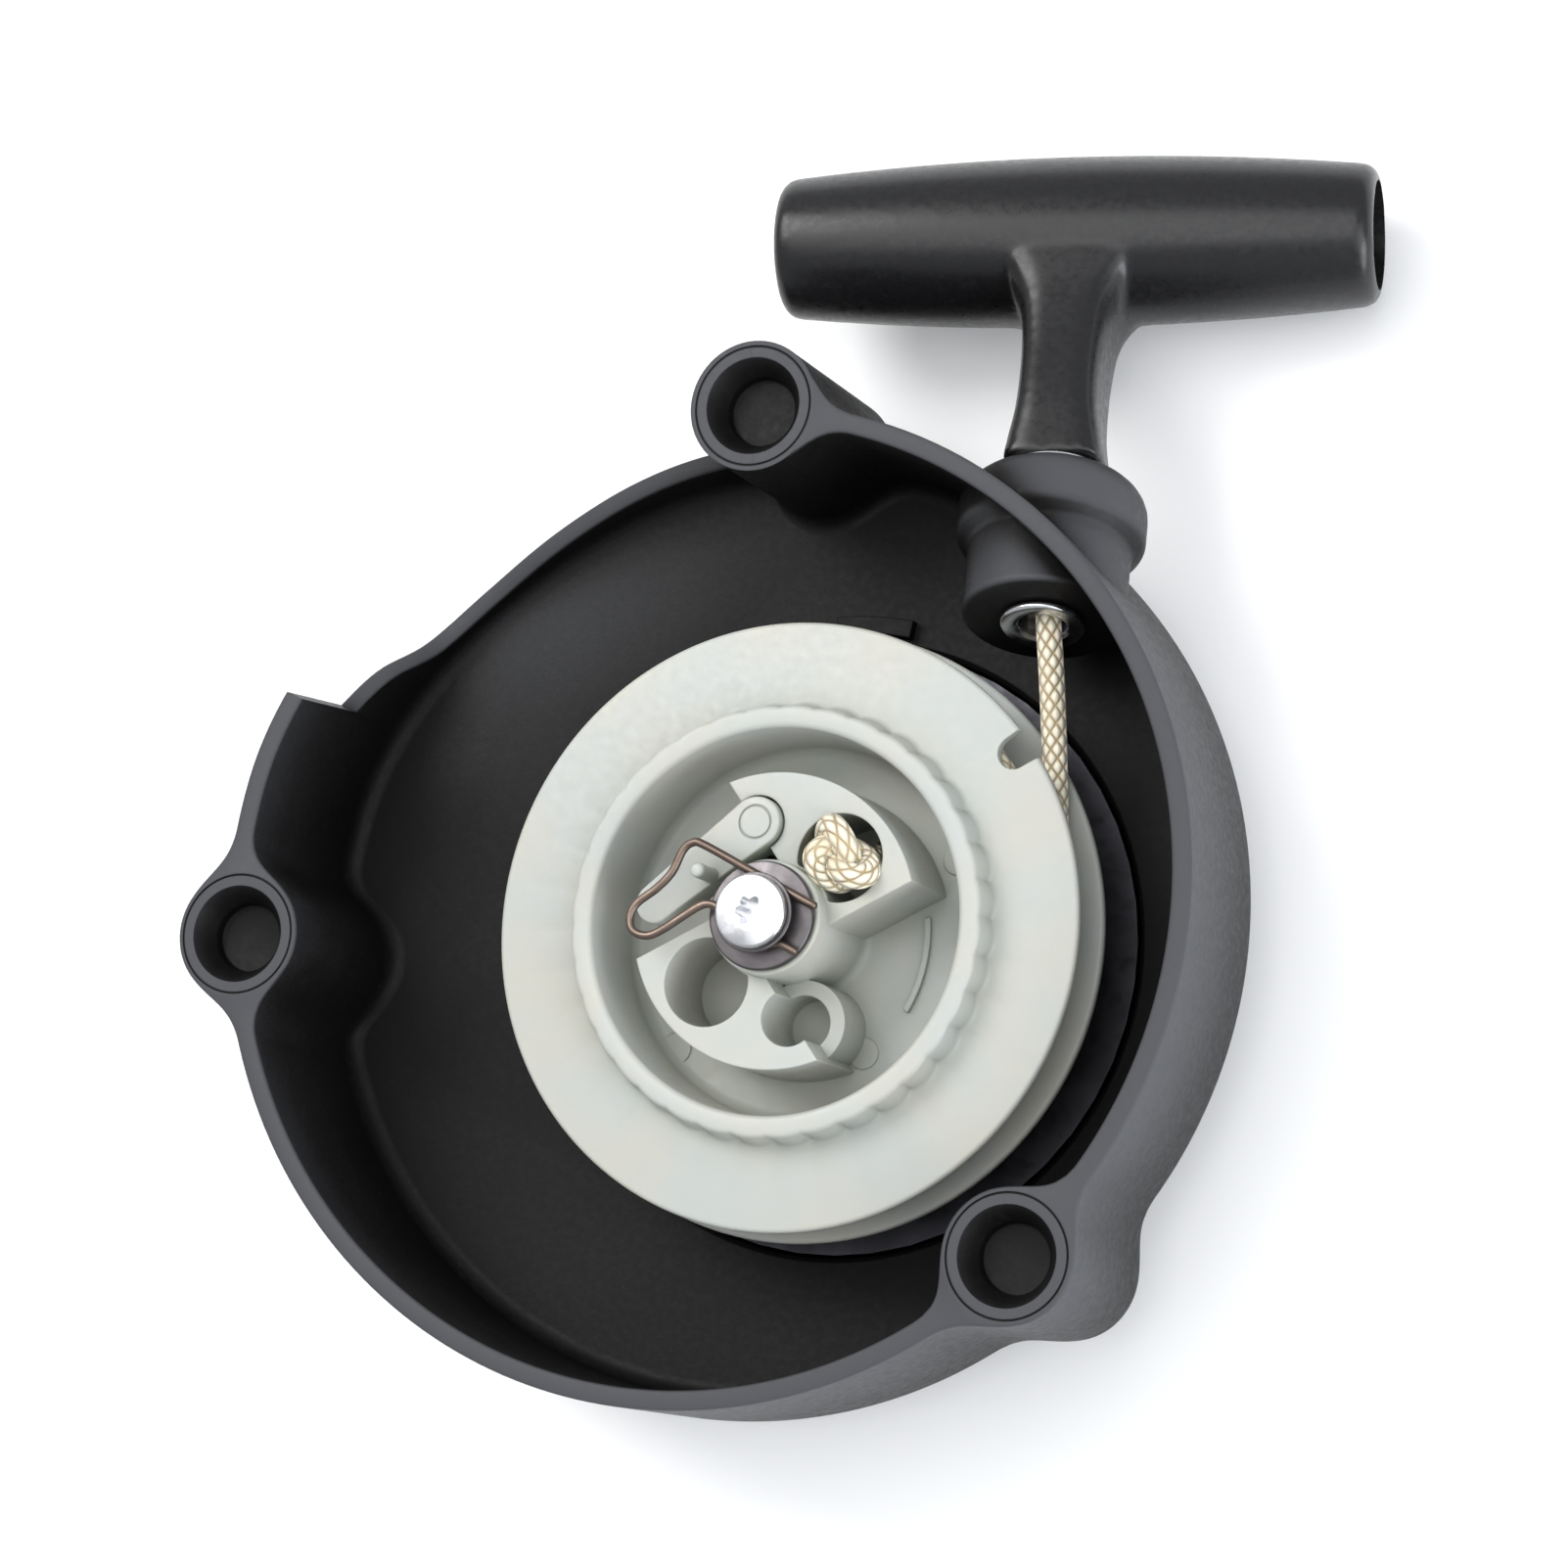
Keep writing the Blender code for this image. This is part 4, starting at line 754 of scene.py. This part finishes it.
def rotor_steps():
    """Pawl sockets, blocks and pockets twice, half a turn apart, then the bore, the rope's ways and the
    small marks."""
    foot, top = CUP_FLOOR_Z - 0.85, BLOCK_TOP
    steps = []
    for k, turn in enumerate((0.0, 180.0)):
        centre = np.array(PIVOT) * (1 - 2 * k)
        steps += join(post(f"ring_{k}", centre, foot, FLANGE_Z - 2.0, PAWL_BOSS_R + 2.3))
        steps += join(prism(f"block_{k}", block_outline(turn), foot, top))
        steps += cut(post(f"pawl_socket_{k}", centre, FLANGE_Z - 8.0, top + 2, PAWL_BOSS_R + 0.3))
        steps += cut(prism(f"pocket_{k}", pocket_outline(turn), CUP_FLOOR_Z + 0.6, top + 2))
    steps += cut(post("bore", (0, 0), ROTOR_LOW - 1, HUB_TOP + 1, BORE_R, 90))
    steps += cut(post("floor_hole", polar(KNOT_ANGLE, 16.0), CUP_FLOOR_Z - 3, CUP_FLOOR_Z + 2, 3.0, 40))
    slot = np.vstack([arc((0, 0), DRUM_R + 0.15, 37.3, 68.2, 24), arc((0, 0), COIL_R + 2.1, 68.2, 37.3, 24)])
    steps += cut(prism("rope_slot", slot, CUP_FLOOR_Z - 3, FLANGE_Z - 8))
    x, y = polar(35.0, FLANGE_R - 2.4)
    notch = arc((x, y), 2.2, 125, 305, 24)
    notch = np.vstack([notch, notch[-1] + polar(27, 9.0), notch[0] + polar(35, 9.0)])
    steps += cut(prism("rope_notch", notch, FLANGE_Z - 3, FLANGE_Z + 1))
    for k, (centre, radius) in enumerate((((8.0, -15.9), 2.1), ((-18.6, -14.9), 2.1), ((20.5, 9.6), 2.0))):
        steps += join(post(f"ejector_mark_{k}", centre, CUP_FLOOR_Z - 0.5, CUP_FLOOR_Z + 0.18, radius, 40))
    rib = np.vstack([arc((0, 0), 18.1, -34, 6, 24), arc((0, 0), 19.0, 6, -34, 24)]) * (0.9, 1.0)
    steps += join(prism("floor_rib", rib, CUP_FLOOR_Z - 0.5, CUP_FLOOR_Z + 0.7))
    return steps


def pawl_pieces():
    """Boss and tip as two circles with their common tangents, a shank, a raised pin mark and a domed
    peg."""
    (x, y), (u, v) = PIVOT, PAWL_TIP
    heading = math.degrees(math.atan2(v - y, u - x))
    tangent = math.degrees(math.acos((PAWL_BOSS_R - PAWL_TIP_R) / math.hypot(u - x, v - y)))
    edge = np.vstack([arc(PIVOT, PAWL_BOSS_R, heading + tangent, heading + 360 - tangent, 60),
                      arc(PAWL_TIP, PAWL_TIP_R, heading - tangent, heading + tangent, 36)])
    top = PAWL_TOP
    centre = edge.mean(axis=0)
    low = top - 4.6

    def ring(inset, height):
        return np.c_[edge + (centre - edge) / np.linalg.norm(centre - edge, axis=1)[:, None] * inset,
                     np.full(len(edge), height)]

    levels = ((0.3, low), (0, low + 0.3), (0, top - 0.45), (0.13, top - 0.13), (0.45, top))
    body = surface("pawl_body", np.array([ring(*level) for level in levels]), (False, True), True)
    groove = [(2.05, top - 0.2), (2.3, top - 0.2), (2.35, top + 1), (2.0, top + 1)]
    dome = WIRE_Z + 0.44
    peg = rounded([(0, top - 1), (1.0, top - 1), (1.0, dome), (0, dome)], (0, 0, 0.6, 0), 6)

    def at(place):
        return lambda points: points + (*place, 0.0)

    steps = join(post("shank", PIVOT, FLANGE_Z - 7.7, top - 2.3, PAWL_BOSS_R - 0.02))
    steps += cut(turned("pin_mark", groove, 48, at(PIVOT)))
    return body, steps + join(turned("peg", peg, 40, at(PEG)))


def clip_line():
    """In along the loop, round the collar's neck and out again, all at one height."""
    wrap = arc((0, 0), NECK_R + 0.08 + WIRE_R, 186, 292, 14)
    flat = np.vstack([CLIP_LOOP, wrap, [(3.1, -3.95), (4.4, -4.5), (5.9, -5.3)]])
    return smooth_line(np.c_[flat, np.full(len(flat), WIRE_Z)], 0.3)


# Rope.
def coil_line():
    """The drop from the knot, then turns in two layers, each beside or on top of the one before: radius and
    height step over by one spacing along 3s^2 - 2s^3."""
    drop = np.array([(*polar(angle, radius), FLANGE_Z + above) for angle, radius, above in ROPE_DROP])
    angle = np.arange(75.0, 1081.0, 3.0)
    layer = step_between(angle, 660, 720)
    forward = step_between(angle, 330, 390) - step_between(angle, 945, 1005)
    radius, turn = COIL_R + ROPE_SPACING * layer, np.radians(angle)
    coil = np.stack([radius * np.cos(turn), radius * np.sin(turn), COIL_LOW + ROPE_SPACING * forward], 1)
    return np.vstack([smooth_line(np.vstack([drop, coil[:1]]), 1.0)[:-1], coil, (RUN_X, 1.2, COIL_LOW)])


def outlet_point(x, n, t):
    return OUTLET + x * OUT_SIDE + n * OUT_NORMAL + t * OUT_ALONG


def run_line():
    points = [(RUN_X + x, y, COIL_LOW + z) for x, y, z in RUN_POINTS]
    return smooth_line(points + [outlet_point(*place) for place in RUN_OFFSETS], 0.7)


def knot_line(size):
    """A closed overhand knot, the trefoil x = sin t + 2 sin 2t, y = cos t - 2 cos 2t, z = -sin 3t, scaled
    to size."""
    t = np.linspace(0, 2 * math.pi, 140, endpoint=False)
    line = np.stack([np.sin(t) + 2 * np.sin(2 * t), np.cos(t) - 2 * np.cos(2 * t), -np.sin(3 * t)], 1)
    return line / np.abs(line).max(axis=0) * size


# Axle hardware, eyelets and grip.
def screw_profile():
    """Shank, a flat washer-faced head and its slightly crowned top."""
    foot = COLLAR_TOP + 0.3
    corners = [(0, foot - 24), (2.4, foot - 24), (2.9, foot - 23), (2.9, foot), (4.88, foot),
               (4.86, HEAD_TOP - 0.12), (2.6, HEAD_TOP), (0, HEAD_TOP)]
    return rounded(corners, (0, 0.1, 0.1, 0.1, 0.12, 0.42, 0.5, 0))


def recess_outline():
    """Six rounded lobes: between them the radius falls by 0.55 (0.5 - 0.5 cos 6 angle)^1.2."""
    turn = np.linspace(0, 2 * math.pi, 144, endpoint=False)
    radius = 2.0 - 0.55 * (0.5 - 0.5 * np.cos(6 * turn)) ** 1.2
    return np.stack([radius * np.cos(turn), radius * np.sin(turn)], -1)


def collar_profile():
    """Flange, neck for the clip and a rim, as a ring round the screw."""
    low, high = HUB_TOP + 0.3, NECK_FOOT + 2.45
    corners = [(SCREW_BORE_R, low), (COLLAR_R, low), (COLLAR_R, NECK_FOOT), (NECK_R, NECK_FOOT),
               (NECK_R, high), (5.3, high), (5.3, COLLAR_TOP), (SCREW_BORE_R, COLLAR_TOP),
               (SCREW_BORE_R, low)]
    return rounded(corners, (0, 0.2, 0.3, 0.2, 0.2, 0.12, 0.14, 0.12, 0))[:-1]


def bush_profile(flange_r, lip, low, high):
    """A flanged bush: tube from low to high and a rolled flange on the far side of low."""
    side = 1 if high > low else -1
    outer = low - side * lip
    corners = [(3.2, high), (3.2, outer), (flange_r, outer), (flange_r, low), (3.84, low), (3.84, high),
               (3.2, high)]
    return rounded(corners, (0, lip * 0.75, lip * 0.49, lip * 0.3, 0.1, 0.1, 0))[:-1]


def bar_profile():
    """The crossbar's radius along its axis: fattest in the middle by 1 - s^2, with rounded end edges."""
    half = BAR_LENGTH / 2
    along = np.linspace(-1, 1, 41)
    side = np.stack([BAR_END_R + BAR_SWELL * (1 - along ** 2), along * (half - BAR_EDGE)], 1)
    turn = np.radians(np.linspace(0, 90, 7))[1:]
    cap = (BAR_END_R, half) - BAR_EDGE * (1 - np.stack([np.cos(turn), np.sin(turn)], 1))
    return np.vstack([(0, -half), cap[::-1] * (1, -1), side, cap, (0, half)])


def across_grip(points):
    """Lays a shape turned about Z along the crossbar."""
    return (OUTLET + points[..., 2:] * GRIP_SIDE + points[..., :1] * GRIP_NORMAL
            + (BAR_AT + points[..., 1:2]) * OUT_ALONG)


def stem_surface():
    """The stem as superellipses |x/a|^5 + |n/b|^5 = 1 whose half sizes a and b run smoothly along it."""
    sections = smooth_line(STEM, 0.8)
    angle = np.linspace(0, 2 * math.pi, 96, endpoint=False)
    cosine, sine = np.cos(angle), np.sin(angle)
    x = sections[:, 1:2] * np.sign(cosine) * np.abs(cosine) ** (2 / 5)
    n = sections[:, 2:] * np.sign(sine) * np.abs(sine) ** (2 / 5)
    t = GRIP_FOOT + sections[:, :1] + 0 * x
    points = OUTLET + x[..., None] * GRIP_SIDE + n[..., None] * GRIP_NORMAL + t[..., None] * OUT_ALONG
    return surface("stem", points, (False, True), True)


# Operators: one for each piece or group of like pieces.
class STARTER_OT_housing(bpy.types.Operator):
    """Build the housing: walls, bosses, turret, spring well and axle post"""

    bl_idname = "starter.build_housing"
    bl_label = "Housing"

    def execute(self, context):
        shell = housing_surface()
        carve(shell, housing_steps(context.scene.starter_sizes))
        fit_out(shell, "housing", "black_plastic", "starter_housing")
        return {"FINISHED"}


class STARTER_OT_rotor(bpy.types.Operator):
    """Build the rope drum with its cup, pawl blocks, pockets and scalloped lip"""

    bl_idname = "starter.build_rotor"
    bl_label = "Rotor"

    def execute(self, context):
        drum = rotor_surface(context.scene.starter_sizes)
        carve(drum, rotor_steps())
        fit_out(drum, "rotor", "natural_nylon", "rope_rotor")
        return {"FINISHED"}


class STARTER_OT_pawl(bpy.types.Operator):
    """Build the pawl and the friction clip that swings it"""

    bl_idname = "starter.build_pawl"
    bl_label = "Pawl and clip"

    def execute(self, context):
        body, steps = pawl_pieces()
        carve(body, steps)
        fit_out(body, "pawl", "natural_nylon", "ratchet_pawl")
        wire = tube("clip_wire", clip_line(), WIRE_R, 28, rounded_ends=WIRE_R)
        fit_out(wire, "clip", "bronze_wire", "friction_clip")
        return {"FINISHED"}


class STARTER_OT_axle(bpy.types.Operator):
    """Build the six-lobe screw, the collar with the clip's neck and the sleeve"""

    bl_idname = "starter.build_axle"
    bl_label = "Axle hardware"

    def execute(self, context):
        screw = turned("screw_body", screw_profile(), 96)
        carve(screw, cut(prism("recess", recess_outline(), HEAD_TOP - 2.2, HEAD_TOP + 1)))
        fit_out(screw, "housing", "bright_zinc", "retaining_screw")
        collar = turned("collar_body", collar_profile(), 96)
        fit_out(collar, "housing", "dark_steel", "axle_collar")
        bore = POST_R + 0.06
        sleeve = [(bore, 2.7), (SLEEVE_R, 2.7), (SLEEVE_R, HUB_TOP), (bore, HUB_TOP), (bore, 2.7)]
        sleeve = turned("sleeve_tube", rounded(sleeve, (0, 0.2, 0.3, 0.2, 0))[:-1], 72)
        fit_out(sleeve, "housing", "bare_steel", "axle_sleeve")
        return {"FINISHED"}


class STARTER_OT_rope(bpy.types.Operator):
    """Lay the braided rope: coil, run to the outlet, the stretch to the grip and both knots"""

    bl_idname = "starter.build_rope"
    bl_label = "Rope"

    def execute(self, context):
        sizes = context.scene.starter_sizes
        braid = (sizes.braid_diamonds, sizes.braid_pitch)
        coil = tube("coiled_rope", coil_line(), ROPE_R, 24, braid, 0.5)
        fit_out(coil, "rotor", "braided_rope", "rope_coil")
        run = tube("running_rope", run_line(), ROPE_R, 24, braid, 0.5)
        fit_out(run, "housing", "braided_rope", "rope_run")
        steps = np.linspace(6.0, BAR_AT - 7.6, 150)
        line = np.array([outlet_point(0.15, 0.0, step) for step in steps])
        pull = tube("pulled_rope", line, ROPE_R, 24)
        fit_out(pull, None, "braided_rope", "rope_pull", finish="straight_rope")
        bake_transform(pull)
        along = np.array((*polar(KNOT_ANGLE, 1.0), 0.0))
        axes = np.array(((-along[1], along[0], 0.0), along, (0.0, 0.0, 1.0)))
        place = along * 12.2 + (0.0, 0.0, BLOCK_TOP)
        line = place + knot_line((4.3, 3.1, 1.7)) @ axes
        knot = tube("drum_knot", line, ROPE_R, 24, braid, closed=True)
        fit_out(knot, "rotor", "braided_rope", "rotor_knot")
        axes = np.array((GRIP_SIDE, OUT_ALONG, GRIP_NORMAL))
        place = outlet_point(0.0, 0.0, BAR_AT - BAR_BORE_R + 0.1 + 4.2)
        line = place + knot_line((3.6, 2.4, 2.4)) @ axes
        knot = tube("grip_end_knot", line, ROPE_R, 24, braid, closed=True)
        fit_out(knot, "grip", "braided_rope", "grip_knot")
        return {"FINISHED"}


class STARTER_OT_eyelet(bpy.types.Operator):
    """Build the eyelet inside the housing and the collar ring on the turret's face"""

    bl_idname = "starter.build_eyelet"
    bl_label = "Eyelets"

    def execute(self, context):
        inner = turned("inner_eyelet", bush_profile(5.6, 0.9, -0.3, 8.0), 72, at_outlet())
        fit_out(inner, "housing", "bright_zinc", "rope_eyelet")
        outer = bush_profile(7.7, 1.3, TURRET_LENGTH + 0.3, TURRET_LENGTH - 8.0)
        outer = turned("outer_eyelet", outer, 72, at_outlet())
        fit_out(outer, "housing", "bright_zinc", "eyelet_collar")
        return {"FINISHED"}


class STARTER_OT_grip(bpy.types.Operator):
    """Build the pull grip: hollow crossbar and waisted stem run into each other"""

    bl_idname = "starter.build_grip"
    bl_label = "Pull grip"

    def execute(self, context):
        grip = turned("grip_body", bar_profile(), 96, across_grip)
        carve(grip, join(stem_surface()))
        remesh = grip.modifiers.new("even", "REMESH")
        remesh.mode, remesh.voxel_size = "VOXEL", 0.5 * MM
        smooth = grip.modifiers.new("fillet", "SMOOTH")
        smooth.factor, smooth.iterations = 0.5, 14
        bore = turned("bar_bore", [(0, -60), (BAR_BORE_R, -60), (BAR_BORE_R, 60), (0, 60)], 72, across_grip)
        way = [(0, GRIP_FOOT - 5), (2.15, GRIP_FOOT - 5), (2.15, BAR_AT), (0, BAR_AT)]
        carve(grip, cut(bore, turned("rope_way", way, 40, at_outlet())))
        fit_out(grip, "grip", "grip_plastic", "pull_grip")
        return {"FINISHED"}


class STARTER_OT_spring(bpy.types.Operator):
    """Finish the rewind spring and its cover, which stay as the frame has them"""

    bl_idname = "starter.dress_spring"
    bl_label = "Rewind spring"

    def execute(self, context):
        dress("rewind_spring", "spring_steel")
        dress("spring_cover", "bare_steel")
        return {"FINISHED"}


class STARTER_OT_stage(bpy.types.Operator):
    """Set up the pale floor, the soft lights and the camera"""

    bl_idname = "starter.build_stage"
    bl_label = "Stage"

    def execute(self, context):
        scene = context.scene
        reach = np.array((-2.5, 2.5))
        corners = [[(x, y, -0.0002) for x in reach] for y in reach]
        floor = surface("stage_floor", np.array(corners) / MM, (False, False))
        paper = Nodes("pale_paper", Roughness=0.9)
        paper.feed("Base Color", paper.mix(paper.noise(3.0), (0.93, 0.93, 0.93), (0.95, 0.95, 0.95)))
        floor.data.materials.append(paper.material)
        target = Vector((0.0, 0.02, 0.03))
        for name, place, size, power, colour in LIGHTS:
            light = bpy.data.lights.new(name, "AREA")
            light.shape, light.size, light.energy, light.color = "DISK", size, power, colour
            lamp = bpy.data.objects.new(name, light)
            lamp.location = place
            lamp.rotation_euler = (target - Vector(place)).to_track_quat("-Z", "Y").to_euler()
            scene.collection.objects.link(lamp)
        world = bpy.data.worlds.new("studio")
        world.use_nodes = True
        sky = world.node_tree.nodes["Background"].inputs
        sky["Color"].default_value = (0.95, 0.97, 1.0, 1.0)
        sky["Strength"].default_value = WORLD_STRENGTH
        scene.world = world
        camera = bpy.data.objects.new("camera", bpy.data.cameras.new("camera"))
        camera.data.lens, camera.data.sensor_width = FOCAL_LENGTH, SENSOR_WIDTH
        right, up, back = (Vector(axis).normalized() for axis in CAMERA_AXES)
        turn = Matrix((right, up, back)).transposed().to_4x4()
        camera.matrix_world = Matrix.Translation(CAMERA_PLACE) @ turn
        scene.collection.objects.link(camera)
        scene.camera = camera
        scene.view_settings.view_transform = "Standard"
        return {"FINISHED"}


OPERATORS = (STARTER_OT_housing, STARTER_OT_rotor, STARTER_OT_pawl, STARTER_OT_axle, STARTER_OT_rope,
             STARTER_OT_eyelet, STARTER_OT_grip, STARTER_OT_spring, STARTER_OT_stage)


class STARTER_PT_panel(bpy.types.Panel):
    """Lists the builders and their settings."""

    bl_idname = "STARTER_PT_panel"
    bl_label = "Recoil starter"
    bl_space_type = "VIEW_3D"
    bl_region_type = "UI"
    bl_category = "Starter"

    def draw(self, context):
        for kind in OPERATORS:
            self.layout.operator(kind.bl_idname, text=kind.bl_label)
        for group in (context.scene.starter_sizes, context.scene.starter_colours):
            for key in group.bl_rna.properties.keys():
                if key not in ("rna_type", "name"):
                    self.layout.prop(group, key)


CLASSES = (StarterSizes, StarterColours, *OPERATORS, STARTER_PT_panel)


def register():
    for kind in CLASSES:
        bpy.utils.register_class(kind)
    bpy.types.Scene.starter_sizes = bpy.props.PointerProperty(type=StarterSizes)
    bpy.types.Scene.starter_colours = bpy.props.PointerProperty(type=StarterColours)


def unregister():
    del bpy.types.Scene.starter_sizes
    del bpy.types.Scene.starter_colours
    for kind in reversed(CLASSES):
        bpy.utils.unregister_class(kind)


def main():
    register()
    make_finishes()
    for kind in OPERATORS:
        group, name = kind.bl_idname.split(".")
        if getattr(getattr(bpy.ops, group), name)() != {"FINISHED"}:
            raise RuntimeError(f"{kind.bl_idname} didn't finish")


if __name__ == "__main__":
    main()
